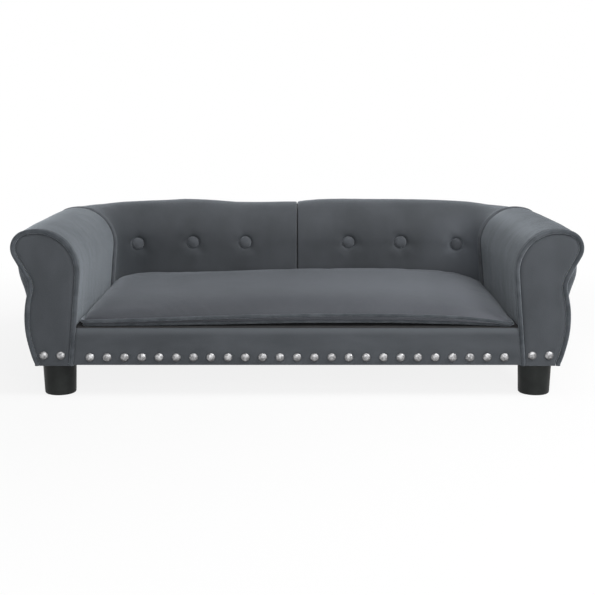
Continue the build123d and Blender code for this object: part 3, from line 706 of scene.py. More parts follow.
# The nail heads' downward-facing facets are darker: painted shade.
nail_metal = speckled(
    "nail_metal", (0.13, 0.13, 0.134), (0.44, 0.44, 0.445), bump=0.15, metallic=1.0,
    under=(0.1, 0.1, 0.103), Cloud_Scale=260.0, Fleck_Scale=900.0, Smoothest=0.34,
    Roughest=0.5,
)
foam_yellow = speckled(
    "foam_yellow", (0.62, 0.52, 0.33), (0.8, 0.7, 0.48), bump=0.5,
    Cloud_Scale=30.0, Fleck_Scale=700.0, Fleck_Share=0.6, Smoothest=0.85, Roughest=0.95,
)
plywood_grain = speckled(
    "plywood_grain", (0.36, 0.22, 0.11), (0.6, 0.42, 0.24), (0.3, 4.0, 4.0), bump=0.25,
    Cloud_Scale=30.0, Fleck_Scale=600.0, Smoothest=0.6, Roughest=0.8,
)
batten_grain = speckled(
    "batten_grain", (0.42, 0.27, 0.13), (0.66, 0.49, 0.29), (0.3, 4.0, 4.0), bump=0.25,
    Cloud_Scale=36.0, Fleck_Scale=500.0, Smoothest=0.6, Roughest=0.8,
)
hardboard_brown = speckled(
    "hardboard_brown", (0.14, 0.08, 0.045), (0.24, 0.15, 0.09), bump=0.15,
    Cloud_Scale=60.0, Fleck_Scale=900.0, Fleck_Share=0.5, Smoothest=0.5, Roughest=0.75,
)
lining_black = speckled(
    "lining_black", (0.016, 0.016, 0.017), (0.034, 0.034, 0.036), bump=0.3,
    Cloud_Scale=25.0, Fleck_Scale=1200.0, Fleck_Share=0.5, Smoothest=0.85, Roughest=0.95,
)
dust_black = speckled(
    "dust_black", (0.014, 0.014, 0.015), (0.035, 0.035, 0.037), bump=0.3,
    Cloud_Scale=50.0, Fleck_Scale=1400.0, Fleck_Share=0.6, Smoothest=0.8, Roughest=0.95,
)
twine_pale = speckled(
    "twine_pale", (0.55, 0.5, 0.4), (0.75, 0.7, 0.6), bump=0.4,
    Cloud_Scale=200.0, Fleck_Scale=2500.0, Smoothest=0.8, Roughest=0.95,
)
screw_steel = speckled(
    "screw_steel", (0.45, 0.45, 0.44), (0.62, 0.62, 0.6), bump=0.05, metallic=1.0,
    Cloud_Scale=200.0, Fleck_Scale=2000.0, Smoothest=0.25, Roughest=0.45,
)
zip_tape_grey = speckled(
    "zip_tape_grey", (0.03, 0.034, 0.04), (0.06, 0.066, 0.074), (1, 1, 6), bump=0.3,
    Cloud_Scale=300.0, Fleck_Scale=2500.0, Fleck_Share=0.5, Smoothest=0.8, Roughest=0.95,
)
zip_metal = speckled(
    "zip_metal", (0.3, 0.3, 0.31), (0.46, 0.46, 0.47), bump=0.04, metallic=1.0,
    Cloud_Scale=300.0, Fleck_Scale=3000.0, Smoothest=0.25, Roughest=0.45,
)
print("materials", len(bpy.data.materials))

# %% [markdown]
# The inner frame isn't seen on a whole bed, but it is part of the model, so its boards,
# battens, panels and screws keep the shapes of the construction model and get a real finish.

# %% Finishes of the inner frame
def paired(*names):
    return [f"{name}_{word}" for name in names for _, word in HALVES]


INNER = (
    (plywood_grain, ["front_rail_board", "rear_rail", "seat_deck", "back_posts"]),
    (plywood_grain, paired("side_rail", "corner_rail", "arm_front_board", "arm_rear_board")),
    (plywood_grain, paired("corner_plate")),
    (batten_grain, ["arm_base_rails", "back_top_rails", "back_base_rails", "foot_blocks"]),
    (batten_grain, paired("arm_top_rail")),
    (hardboard_brown, ["back_panels"] + paired("arm_panel", "corner_panel")),
    (twine_pale, ["button_ties"]),
    (screw_steel, ["foot_screws"]),
)


def finish_node(name, material):
    """Give a node of the construction model a finish."""
    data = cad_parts[name].data
    data.materials.clear()
    data.materials.append(material)


for material, names in INNER:
    for name in names:
        finish_node(name, material)
print("frame nodes with a finish", sum(len(names) for _, names in INNER))

# %% [markdown]
# The arm's cover is one piece of velvet drawn over the arm. At the front it is sewn into
# the piping of the waisted facing, and a little further back it is stretched straight from
# the nose down to the belly, so it is a scroll section that changes over its first inches.
# A grid of sections along the arm shows this change best. The sewn ends are drawn in.

# %% Arm covers
COVER_PROUD = 2.0 * MM
COVER_THICKNESS = 1.2 * MM
FACING_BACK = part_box("arm_facing_right")[1].y
WRAP_RUN = 25.0 * MM
END_DRAW = 3.0 * MM
END_REACH = 12.0 * MM
PUFF = 1.3 * MM
TOP_PUFF = 2.4 * MM
WAIST_PUFF = 5.0 * MM
RETURN_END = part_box("front_rail_cover")[1].y - 0.5 * MM
RETURN_STEP = 0.4 * MM
NEAR_RUN, NEAR_ROWS, REAR_RUN = 26.0 * MM, 13, 8.0 * MM
REAR_ROWS = np.array([5.5, 3.2, 1.5, 0.0]) * MM
WAVE_SQUEEZE, WAVE_SIZE, WAVE_HEIGHT = (1.0, 0.55, 1.0), 0.11, 0.55 * MM
FINE_SIZE, FINE_HEIGHT = 0.035, 0.12 * MM
FOOT_HOLD, STUFFING_REACH = 20.0 * MM, 14.0 * MM
WAIST_HEIGHT, WAIST_SPAN, WAIST_REACH = 205.0 * MM, 26.0 * MM, 30.0 * MM
FOAM_INSET, FOAM_FOOT = 3.6 * MM, SEAT_TOP + 0.8 * MM
ARM_STEP, ARM_FOAM_STEP, ARM_FOAM_THICKNESS = 5.0 * MM, 12 * MM, 8 * MM


def wrap_share(y):
    """How far the section has changed from the facing's outline to the plain wrap."""
    return smooth_step((y - FACING_BACK) / WRAP_RUN)


def section_at(share, inset, low_in=None):
    """The outline between the facing's and the wrap's, at a depth below the piping."""
    low = SEAT_TOP + 0.3 * MM if low_in is None else low_in
    wrap, wrap_n = scroll_points(inset, low, ARM_FOOT, WRAP_UNDER, WRAP_WAIST)
    if share >= 1.0:
        return wrap, wrap_n
    face, face_n = scroll_points(inset, low, ARM_FOOT, FACING_UNDER, FACING_WAIST)
    line = face * (1 - share) + wrap * share
    normal = face_n * (1 - share) + wrap_n * share
    return line, normal / np.linalg.norm(normal, axis=1)[:, None]


def arm_stations(front, rear, step):
    """Depths of an arm's sections: close together at both ends, where the skin bends."""
    near = np.linspace(0, 1, NEAR_ROWS)[1:-1] ** 1.5 * NEAR_RUN
    count = int((rear - front - NEAR_RUN) / step)
    middle = np.linspace(front + NEAR_RUN, rear - REAR_RUN, count)
    seam = [front, RETURN_END, RETURN_END + RETURN_STEP]
    return np.sort(np.concatenate((seam, front + near, middle, rear - REAR_ROWS)))


def arm_rows(side, inset, front, rear, seed, step=ARM_STEP, low_in=None):
    """Points of an arm's skin, one row for each section from front to rear."""
    rows = []
    for y in arm_stations(front, rear, step):
        low = ARM_FOOT if low_in is None and y <= RETURN_END else low_in
        line, normal = section_at(float(wrap_share(y)), inset, low)
        ends, along = min(y - front, rear - y), (y - front) / (rear - front)
        draw = END_DRAW * (1 - smooth_step(ends / END_REACH)) ** 1.5
        belly = PUFF * math.sin(math.pi * along) ** 0.6 if ends > 0 else 0
        here = upright(line[:, 0], y, line[:, 1])
        wave = ripple(here * WAVE_SQUEEZE, seed, WAVE_SIZE) * WAVE_HEIGHT
        fine = ripple(here, seed + 7, FINE_SIZE) * FINE_HEIGHT
        hold = smooth_step((line[:, 1] - FOOT_TOP) / FOOT_HOLD)
        top = TOP_PUFF * np.clip(normal[:, 1], 0, 1) ** 2 * math.sin(math.pi * along) ** 0.5
        waist = WAIST_PUFF * np.exp(-(((line[:, 1] - WAIST_HEIGHT) / WAIST_SPAN) ** 2))
        waist = waist * (normal[:, 0] > 0.5) * smooth_step(ends / WAIST_REACH)
        stuffing = belly + (wave + fine) * smooth_step(ends / STUFFING_REACH)
        line = line + normal * ((stuffing + top + waist) * hold - draw)[:, None]
        rows.append(upright(flared((CORNER_X + line[:, 0]) * side, line[:, 1]), y, line[:, 1]))
    return rows


def skin(name, rows, flip, thickness=COVER_THICKNESS):
    """A grid piece from rows of points, smooth and as thick as its cloth."""
    faces = grid_faces(len(rows), len(rows[0]), flip=flip)
    return soften(link_mesh(name, np.vstack(rows), faces), thickness=thickness)


for side, word in HALVES:
    cover_rows = arm_rows(side, COVER_PROUD, FACING_BACK, CORNER_Y - 0.3 * MM, 11 + side)
    cover = skin(f"arm_cover_{word}", cover_rows, flip=side < 0)
    hand_over(cover, "bed", "velvet", arm_velvets[side], f"arm_cover_{word}")
    foam_rows = arm_rows(
        side, FOAM_INSET, FACING_BACK + 0.4 * MM, CORNER_Y - 8.5 * MM, 11 + side,
        ARM_FOAM_STEP, FOAM_FOOT,
    )
    foam = skin(f"arm_foam_{word}", foam_rows, side < 0, ARM_FOAM_THICKNESS)
    hand_over(foam, "bed", "foam", foam_yellow, f"arm_foam_{word}")
print("arm cover points", sum(len(row) for row in cover_rows))

# %% [markdown]
# The facing is a flat panel of velvet over a thin pad, cut to the scroll's shape and sewn
# inside the piping. Its middle stands level and its edge rolls down to the seam. Such an
# odd outline is filled with evenly spread points, joined by Blender's own triangulation,
# and each point's height comes from how far it lies from the edge.

# %% Arm facings
FACING_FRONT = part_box("arm_facing_right")[0].y
FACING_OUT = 7.8 * MM
FACING_SPACING = 3.4 * MM
FACING_ROLL = 8.0 * MM
FACING_SINK = 4.2 * MM
RING_DEPTHS, RING_STEP, FOOT_POINTS = (0.5, 1.3, 2.5, 4.2, 6.4, 9.2), 2.6 * MM, 28
FACING_HOLD, SINK_AT_FOOT = 12.0 * MM, 0.15
FACING_WAVE, FACING_WAVE_SIZE, FACING_WAVE_REACH = 0.35 * MM, 0.09, 10 * MM
NAIL_DENT, NAIL_DENT_REACH = 0.9 * MM, 9.0 * MM
CLOTH_LIP = 0.3 * MM
WELT_TURN_UP = 3.5 * MM
ROW_PITCH = 0.866
ARM_NAIL_PITCH = 28.5 * MM


def fill_outline(outline, spacing, rings=None):
    """Evenly spread points inside a closed outline, with triangles and depths from its edge."""
    low, high = outline.min(axis=0), outline.max(axis=0)
    rows = np.arange(low[1] + spacing * 0.5, high[1], spacing * ROW_PITCH)
    inside = []
    for r, v in enumerate(rows):
        u = np.arange(low[0] + spacing * (0.5 if r % 2 else 1.0), high[0], spacing)
        inside.append(np.column_stack((u, np.full(len(u), v))))
    points = np.vstack(inside)
    if rings is not None:
        gaps = [np.min(np.sum((rings - point) ** 2, axis=1)) for point in points]
        points = np.vstack((points[np.array(gaps) > (spacing * 0.6) ** 2], rings))
    crossings = np.zeros(len(points), int)
    distance = np.full(len(points), 1e9)
    for a, b in zip(outline, np.roll(outline, -1, axis=0)):
        spans = (a[1] > points[:, 1]) != (b[1] > points[:, 1])
        with np.errstate(divide="ignore", invalid="ignore"):
            cut = (b[0] - a[0]) * (points[:, 1] - a[1]) / (b[1] - a[1]) + a[0]
        crossings += spans & (points[:, 0] < cut)
        run = b - a
        t = np.clip(((points - a) @ run) / max(run @ run, 1e-12), 0, 1)
        distance = np.minimum(distance, np.linalg.norm(points - a - t[:, None] * run, axis=1))
    nearest = spacing * 0.45 if rings is None else 0.3 * MM
    keep = (crossings % 2 == 1) & (distance > nearest)
    points, distance = points[keep], distance[keep]
    everything = np.vstack((outline, points))
    count = len(outline)
    loop = [(i, (i + 1) % count) for i in range(count)]
    made = delaunay_2d_cdt([Vector(p) for p in everything], loop, [], 1, 1e-7)
    flat = np.array([tuple(v) for v in made[0]])
    source = [row[0] if row else -1 for row in made[3]]
    far = np.concatenate((np.zeros(count), distance))
    depth = np.array([far[s] if s >= 0 else 0.0 for s in source])
    return flat, [tuple(face) for face in made[2]], depth


def resample(points, step, closed=False):
    """Points spread evenly along a line."""
    line = np.vstack((points, points[:1])) if closed else points
    lengths = np.concatenate(([0], np.cumsum(np.linalg.norm(np.diff(line, axis=0), axis=1))))
    count = max(2, int(round(lengths[-1] / step)) + (0 if closed else 1))
    wanted = np.linspace(0, lengths[-1], count, endpoint=not closed)
    return np.column_stack([np.interp(wanted, lengths, column) for column in line.T])


def facing_ring(depth):
    """The facing's outline at a depth inside its edge, from its inner to its outer foot."""
    low = ARM_FOOT + WELT_TURN_UP
    line, _ = scroll_points(FACING_OUT + depth, low, low, FACING_UNDER, FACING_WAIST)
    line = np.vstack((line[:1] - (0, WELT_TURN_UP), line, line[-1:] - (0, WELT_TURN_UP)))
    return resample(line, RING_STEP)


facing_edge = facing_ring(0.0)
foot_run = along_line(facing_edge[-1], facing_edge[0], FOOT_POINTS)[1:-1]
facing_edge = np.vstack((facing_edge, foot_run))
facing_rings = np.vstack([facing_ring(depth * MM) for depth in RING_DEPTHS])
facing_flat, facing_faces, facing_depth = fill_outline(
    facing_edge, FACING_SPACING, facing_rings
)
print("facing points", len(facing_flat), "triangles", len(facing_faces))


def make_facing(side, word):
    """A crowned panel, closed at the back, with small dents round its two nails."""
    s, z = facing_flat[:, 0], facing_flat[:, 1]
    roll = np.clip(facing_depth / FACING_ROLL, 0, 1)
    sink = FACING_SINK * (1 - np.sqrt(1 - (1 - roll) ** 2))
    sink *= smooth_step((z - ARM_FOOT) / FACING_HOLD) * (1 - SINK_AT_FOOT) + SINK_AT_FOOT
    here = np.column_stack((s, z, np.zeros(len(s)) + side))
    wave = ripple(here, 31 + side, FACING_WAVE_SIZE) * FACING_WAVE
    sink += wave * smooth_step(facing_depth / FACING_WAVE_REACH)
    for place in arm_nail_places:
        gap = np.hypot(s + CORNER_X - place[0] - arm_nail_shift[side], z - place[1])
        sink += NAIL_DENT * np.exp(-((gap / NAIL_DENT_REACH) ** 2))
    x = flared((s + CORNER_X) * side, z)
    front = np.column_stack((x, FACING_FRONT + CLOTH_LIP + np.maximum(sink, -CLOTH_LIP), z))
    back = upright(x, FACING_BACK - 0.2 * MM, z)
    return slab(f"arm_facing_{word}", front, back, facing_faces)


arm_nail_low, arm_nail_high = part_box("arm_nails")
arm_nail_radius = (arm_nail_high.z - arm_nail_low.z) / 2
arm_nail_places = [
    (arm_nail_high.x - arm_nail_radius - k * ARM_NAIL_PITCH, arm_nail_low.z + arm_nail_radius)
    for k in (0, 1)
]
arm_nail_shift = {-1: 0.0, 1: -2.4 * MM}
for side, word in HALVES:
    facing = make_facing(side, word)
    hand_over(facing, "bed", "velvet", facing_velvet, f"arm_facing_{word}")
print("nails on each facing", len(arm_nail_places))

# %% [markdown]
# Piping is a cord inside a folded strip of the same velvet. On the object it runs round
# each arm's front, between arm and back, and twice round the cushion. A tube that follows
# a line is a job for Geometry Nodes: one tree, given a curve, a radius, a little
# unevenness and a material, makes all six pieces.

# %% The piping tree
GEOMETRY, MATERIAL, WHOLE = "NodeSocketGeometry", "NodeSocketMaterial", "NodeSocketInt"


def new_tree(name, inputs):
    """A geometry tree with named inputs."""
    inputs = [("Geometry", GEOMETRY, None)] + inputs + [("Material", MATERIAL, None)]
    return new_group(name, inputs, [("Geometry", GEOMETRY)], "GeometryNodeTree")


def end_tree(tree, given, out, geometry):
    """Real geometry with the asked material at the end of a tree."""
    real = node(tree, "GeometryNodeRealizeInstances", {"Geometry": geometry})
    inputs = {"Geometry": real.outputs["Geometry"], "Material": given.outputs["Material"]}
    finish = node(tree, "GeometryNodeSetMaterial", inputs)
    tree.links.new(finish.outputs["Geometry"], out.inputs["Geometry"])
    return tree


def grow(source, tree, **values):
    """Run a tree on an object and keep the result as a plain mesh object."""
    modifier = source.modifiers.new("grow", "NODES")
    modifier.node_group = tree
    for item in tree.interface.items_tree:
        if item.in_out == "INPUT" and item.name in values:
            modifier[item.identifier] = values[item.name]
    name = source.name
    source.name = name + "_line"
    graph = bpy.context.evaluated_depsgraph_get()
    mesh = bpy.data.meshes.new_from_object(source.evaluated_get(graph))
    bpy.data.objects.remove(source)
    mesh.name = name
    return add_object(name, mesh)


def curve_object(name, points, closed=False):
    """A poly curve through points."""
    data = bpy.data.curves.new(name, "CURVE")
    data.dimensions = "3D"
    spline = data.splines.new("POLY")
    spline.points.add(len(points) - 1)
    spline.points.foreach_set("co", np.column_stack((points, np.ones(len(points)))).ravel())
    spline.use_cyclic_u = closed
    return add_object(name, data)


def make_piping_tree():
    """A round cord along a curve, slightly uneven in place and thickness."""
    tree, given, out = new_tree(
        "piping",
        [
            ("Radius", VALUE, 4.0 * MM),
            ("Step", VALUE, 3.0 * MM),
            ("Sides", WHOLE, 14),
            ("Uneven", VALUE, 0.06),
            ("Wander", VALUE, 0.35 * MM),
            ("Wave", VALUE, 45.0),
            ("Seed", VALUE, 0.0),
        ],
    )
    sockets = given.outputs
    even = node(
        tree, "GeometryNodeResampleCurve",
        {"Curve": sockets["Geometry"], "Length": sockets["Step"]}, mode="LENGTH",
    )

    def wander(fineness, output):
        scale = maths(tree, "MULTIPLY", sockets["Wave"], fineness)
        inputs = {"W": sockets["Seed"], "Scale": scale}
        return node(tree, "ShaderNodeTexNoise", inputs, noise_dimensions="4D").outputs[output]

    centred = vectors(tree, "SUBTRACT", wander(0.6, "Color"), (0.5, 0.5, 0.5))[0]
    shift = vectors(tree, "SCALE", centred, Scale=sockets["Wander"])[0]
    moved = node(
        tree, "GeometryNodeSetPosition", {"Geometry": even.outputs["Curve"], "Offset": shift}
    )
    spread = node(tree, "ShaderNodeMapRange", {
        "Value": wander(2.0, "Fac"), "From Min": 0.25, "From Max": 0.75,
        "To Min": maths(tree, "SUBTRACT", 1.0, sockets["Uneven"]), "To Max": 1.0,
    })
    radius = node(tree, "GeometryNodeSetCurveRadius", {
        "Curve": moved.outputs["Geometry"], "Radius": spread.outputs["Result"],
    })
    ring = node(tree, "GeometryNodeCurvePrimitiveCircle", {
        "Resolution": sockets["Sides"], "Radius": sockets["Radius"],
    })
    tube = node(tree, "GeometryNodeCurveToMesh", {
        "Curve": radius.outputs["Curve"], "Profile Curve": ring.outputs["Curve"],
        "Fill Caps": True,
    })
    smooth = node(tree, "GeometryNodeSetShadeSmooth", {"Geometry": tube.outputs["Mesh"]})
    return end_tree(tree, given, out, smooth.outputs["Geometry"])


piping_tree = make_piping_tree()
WELT_RADIUS = 4.0 * MM
PIPING_STEP, WELT_STEP = 2.6 * MM, 2.5 * MM
REAR_PROUD = 4.2 * MM
print("piping nodes", len(piping_tree.nodes))

# %% Arm piping
def arm_welt(name, side, y, under, waist, low_in, proud=0.0):
    """Piping round an arm's outline at one place along the arm, its ends upright."""
    turn_up = WELT_TURN_UP
    line, normal = scroll_points(WELT_RADIUS, low_in + turn_up, ARM_FOOT + turn_up, under, waist)
    line = line + normal * proud * (0.2 + 0.8 * np.clip(0.1 - normal[:, :1], 0, 1))
    line = np.vstack((line[:1] - (0, turn_up), line, line[-1:] - (0, turn_up)))
    points = upright(flared((line[:, 0] + CORNER_X) * side, line[:, 1]), y, line[:, 1])
    return grow(
        curve_object(name, resample(points, WELT_STEP)), piping_tree, Radius=WELT_RADIUS,
        Step=PIPING_STEP, Seed=float(side + y), Material=piping_velvet,
    )


WELTS = (
    ("front", FACING_UNDER, FACING_WAIST, ARM_FOOT, 0.0, piping_velvet),
    ("rear", WRAP_UNDER, WRAP_WAIST, SEAT_TOP, REAR_PROUD, rear_piping_velvet),
)
for side, word in HALVES:
    for where, under, waist, low_in, proud, finish in WELTS:
        name = f"arm_{where}_welt_{word}"
        low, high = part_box(name)
        welt = arm_welt(name, side, (low.y + high.y) / 2, under, waist, low_in, proud)
        hand_over(outwards(welt), "bed", "velvet_piping", finish, name)
    print(name, "triangles", len(welt.data.polygons) * 2)

# %% [markdown]
# The back is made in two halves, each from the arm's rear piping round the corner and on to
# the seam in the middle. Each half is the same scroll section swept along that path. The
# buttons pull the inner side into dimples, the stuffing makes the top rise and fall between
# them, and at the middle both halves roll into the seam.

# %% Back halves
BUTTON_HEIGHT = 205.0 * MM
BUTTON_RADIUS = 12.2 * MM
BUTTON_SHARES = (0.333, 0.674)
CORNER_BUTTON_TURN = math.radians(13.2)
WELL_DEPTH, WELL_RADIUS, WELL_SLOPE = 4.4 * MM, 10.0 * MM, 6.5 * MM
DIMPLE_DEPTH, DIMPLE_REACH = 4.0 * MM, 30.0 * MM
BUTTON_DEPTH = 5.2 * MM
SEAM_ROLL = 3.6 * MM
SEAM_SINK = 1.7 * MM
SEAM_GAP, SEAM_FOOT = 0.95 * MM, 0.03 * MM
SEAM_TURN_IN = 4.0 * MM
BACK_SQUEEZE, BACK_WAVE_SIZE, BACK_PUFF = (0.6, 0.6, 1.0), 0.13, 0.8 * MM
BACK_FINE_SIZE, BACK_FINE_HEIGHT = 0.04, 0.15 * MM
PLEATS, PLEAT_PLACE, PLEAT_SPAN, PLEAT_HEIGHT = 5, 24 * MM, 12 * MM, 0.5 * MM
BACK_FOAM_THICKNESS, BACK_FOAM_GAP = 7 * MM, 0.4 * MM
BUTTON_SHIFTS = {
    -1: ((2.0, 1.8), (2.6, 1.8), (0.0, -0.8)),
    1: ((0.6, 2.0), (0.6, 2.0), (0.0, -2.0)),
}

# Rise of the top edge, in millimetres, at distances from the middle.
TOP_RISES = {
    -1: ((0, 0.2), (60, -0.1), (129, 0.2), (170, 3.0), (233, 5.4), (305, 3.7), (360, 1.4),
         (400, -2.4), (475, -2.0)),
    1: ((0, 1.0), (20, 3.6), (47, 5.4), (89, 5.6), (203, 6.0), (296, 3.1), (358, 1.2),
        (394, -2.2), (431, -2.6), (475, -1.5)),
}


def button_places(side):
    """Centres and outward directions of one half's buttons, on the cover's face."""
    depth = inner_s(BUTTON_HEIGHT, COVER_PROUD)
    face = np.array((0.0, -math.cos(ARM_LEAN), -math.sin(ARM_LEAN)))
    places = []
    for share in BUTTON_SHARES:
        places.append((np.array((share * CORNER_X * side, CORNER_Y + depth, BUTTON_HEIGHT)), face))
    turn = math.pi / 2 - CORNER_BUTTON_TURN
    out = np.array((math.cos(turn) * side, math.sin(turn), 0.0))
    place = np.array((CORNER_X * side, CORNER_Y, BUTTON_HEIGHT)) + out * depth
    places.append((place, np.array((-out[0], -out[1], 0)) * math.cos(ARM_LEAN) + (0, 0, face[2])))
    for (place, _), (along, up) in zip(places, BUTTON_SHIFTS[side]):
        place += np.array((along * side, -up * math.sin(ARM_LEAN), up)) * MM
    return places


def back_path():
    """Stations along a half: the corner's angle, then the distance to the middle seam."""
    corner = [("turn", a) for a in np.linspace(0, math.pi / 2, 56)[:-1]]
    corner[1:1] = [("turn", a) for a in (0.006, 0.014, 0.024)]
    run = np.linspace(CORNER_X, 14 * MM, 118)
    seam = np.array([11.5, 9.0, 6.6, 5.0, 3.8, 2.8, 2.1, 1.6, 1.2, 0.95]) * MM
    halfway = [("run", x) for x in np.concatenate((run, seam))]
    return corner + halfway + [("turned in", SEAM_FOOT)]


def back_rows(side, inset, seed, skip=1, low_in=None, end_gap=0.0):
    """Points of one half of the back, with dimples, folds and a rolled seam."""
    line, normal = section_at(1.0, inset, low_in)
    buttons = button_places(side)
    top = normal[:, 1].clip(0, 1) ** 1.5
    inner = np.clip(-normal[:, 0], 0, 1)
    rises = np.array(TOP_RISES[side]) * (1.0, MM)
    rows = []
    for kind, value in back_path()[::skip] + ([] if skip == 1 else [("run", 0.5 * MM)]):
        if kind == "turned in" and skip > 1:
            continue
        if kind == "turn":
            out = np.array((math.cos(value), math.sin(value)))
            base, along = np.array((CORNER_X, CORNER_Y)), value * CORNER_RADIUS * 2
            if inset > COVER_PROUD and along == 0:
                base = base + (0, 0.1 * MM)
        else:
            out, base = np.array((0.0, 1.0)), np.array((value + end_gap, CORNER_Y))
            along = CORNER_X - value + math.pi * CORNER_RADIUS
        flat = base + out * line[:, :1]
        points = np.column_stack((flat, line[:, 1]))
        facing = np.column_stack((out * normal[:, :1], normal[:, 1]))
        points[:, 0] *= side
        facing[:, 0] *= side
        x = abs(points[:, 0])
        lift = np.interp(x / MM, rises[:, 0], rises[:, 1]) * top
        hold = smooth_step((line[:, 1] - FOOT_TOP) / FOOT_HOLD)
        wave = ripple(points * BACK_SQUEEZE, seed, BACK_WAVE_SIZE) * BACK_PUFF
        fine = ripple(points, seed + 3, BACK_FINE_SIZE) * BACK_FINE_HEIGHT
        lift += (wave + fine + BACK_PUFF) * hold
        for place, _ in buttons:
            gap = np.linalg.norm(points - place, axis=1)
            turn = np.arctan2(points[:, 2] - place[2], (points[:, 0] - place[0]) * side)
            well = WELL_DEPTH * (1 - smooth_step((gap - WELL_RADIUS) / WELL_SLOPE))
            lift -= (well + DIMPLE_DEPTH * (1 - smooth_step(gap / DIMPLE_REACH))) * inner
            pleat = np.exp(-(((gap - PLEAT_PLACE) / PLEAT_SPAN) ** 2))
            lift += np.cos(turn * PLEATS + seed) * pleat * PLEAT_HEIGHT * inner
        if kind != "turn":
            near = np.clip(1 - (value - SEAM_GAP) / SEAM_ROLL, 0, 1)
            lift -= SEAM_SINK * (1 - math.sqrt(1 - near**2)) * hold
            lift -= SEAM_TURN_IN * (kind == "turned in")
        elif along < END_REACH:
            lift -= END_DRAW * (1 - smooth_step(along / END_REACH)) ** 1.5
        points = points + facing * lift[:, None]
        points[:, 0] = flared(points[:, 0], points[:, 2])
        rows.append(points)
    return rows


for side, word in HALVES:
    rows = back_rows(side, COVER_PROUD, 41 + side)
    cover = skin(f"back_cover_{word}", rows, flip=side < 0)
    hand_over(cover, "bed", "velvet", back_velvet, f"back_cover_{word}")
    count, strip = len(cover.data.polygons), len(rows[0]) - 1
    # Painted shade: the turned-in strip at the middle seam takes the black lining finish, so the
    # seam's groove reads as a dark line.
    second_finish(cover, lining_black, np.arange(count) >= count - strip)
    rows = back_rows(side, FOAM_INSET, 41 + side, 3, FOAM_FOOT, BACK_FOAM_GAP)
    foam = skin(f"back_foam_{word}", rows, side < 0, BACK_FOAM_THICKNESS)
    hand_over(foam, "bed", "foam", foam_yellow, f"back_foam_{word}")
print("back cover triangles", len(cover.data.polygons) * 2)

# %% [markdown]
# A covered button is a metal cap with a circle of velvet gathered over it. Its face is a low
# dome and its rim turns in, where the cloth is bunched. One profile is spun round the
# button's axis, and a few soft gathers near the rim come from a wave in its radius.

# %% Covered buttons
BUTTON_RISE = 5.6 * MM
BUTTON_TURNS = 48
BUTTON_SHARE = (0.0, 0.18, 0.38, 0.56, 0.72, 0.85, 0.94, 1.0, 0.99, 0.93, 0.8, 0.0)
BUTTON_DOME = (1.0, 0.98, 0.93, 0.85, 0.75, 0.62, 0.45, 0.15, -0.12, -0.34, -0.48, -0.48)
GATHERS, GATHER_DEPTH, BUTTON_WAVE = 9, 0.012, 0.25 * MM


def button_points(place, out, seed):
    """A domed cap with gathers, its axis along the direction it faces."""
    side_way = np.cross(out, (0.0, 0.0, 1.0))
    side_way /= np.linalg.norm(side_way)
    up = np.cross(side_way, out)
    rows = []
    base = place - out * BUTTON_DEPTH
    turn = np.arange(BUTTON_TURNS) * 2 * math.pi / BUTTON_TURNS
    for s, r in zip(BUTTON_SHARE, BUTTON_DOME):
        radius = BUTTON_RADIUS * s * (1 + GATHER_DEPTH * np.sin(turn * GATHERS + seed) * s**4)
        height = BUTTON_RISE * r + BUTTON_WAVE * np.sin(turn * 2 + seed) * s
        rows.append(
            base + np.outer(radius * np.cos(turn), side_way)
            + np.outer(radius * np.sin(turn), up) + np.outer(height, out)
        )
    return rows


for side, word in HALVES:
    vertices, faces = [], []
    for index, (place, out) in enumerate(button_places(side)):
        rows = button_points(place, out, index * 2.0 + side)
        faces += grid_faces(len(rows), BUTTON_TURNS, True, first=len(vertices))
        vertices += list(np.vstack(rows))
    buttons = soften(outwards(link_mesh(f"back_buttons_{word}", vertices, faces)), level=1)
    hand_over(buttons, "bed", "velvet_button", button_velvet, f"back_buttons_{word}")
print("button points", len(vertices))

# %% [markdown]
# The front rail is a board with a thin pad under velvet. Its face is nearly flat, rounds
# over to the seat, and its upper corners are rounded beside the arms, which lean in over
# them. Each nail presses the pad in a little. As with the facings, an outline is filled
# with points and each is pushed in by its distance from the edge, which rolls the edge
# round. A wall behind the outline takes the cloth back over the board.

# %% Front rail
RAIL_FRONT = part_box("front_rail_cover")[0].y
RAIL_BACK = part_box("front_rail_cover")[1].y
RAIL_TOP = SEAT_TOP - 1.3 * MM
RAIL_ROUND = 2.6 * MM
RAIL_TILT, TILT_REACH = 2.2 * MM, 20.0 * MM
RAIL_END_ROUND = 2.0 * MM
RAIL_FOOT = FOOT_TOP - 0.8 * MM
RAIL_NAILS = 25
RAIL_ROWS, RAIL_END_GAP = 40, 0.8 * MM
RAIL_LOW_RUN, LOW_ROLL, RAIL_HOLD = 9.0 * MM, 0.16, 14.0 * MM
RAIL_CROWN, RAIL_WAVE, RAIL_WAVE_SIZE = 0.5 * MM, 0.3 * MM, 0.1
RAIL_DENT, RAIL_DENT_REACH = 1.1 * MM, 9.5 * MM
RAIL_RINGS, WALL_SHARES = (0.5, 1.4, 2.8, 4.6, 6.6), (0.35, 1.0)
NAIL_DROP = 1.5 * MM
NAIL_HEIGHT = (
    (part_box("front_rail_nails")[0].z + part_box("front_rail_nails")[1].z) / 2 - NAIL_DROP
)
NAIL_HEAD_RADIUS = 7.1 * MM

rail_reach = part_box("front_rail_nails")[1].x - NAIL_HEAD_RADIUS
rail_nail_xs = np.linspace(-rail_reach, rail_reach, RAIL_NAILS)


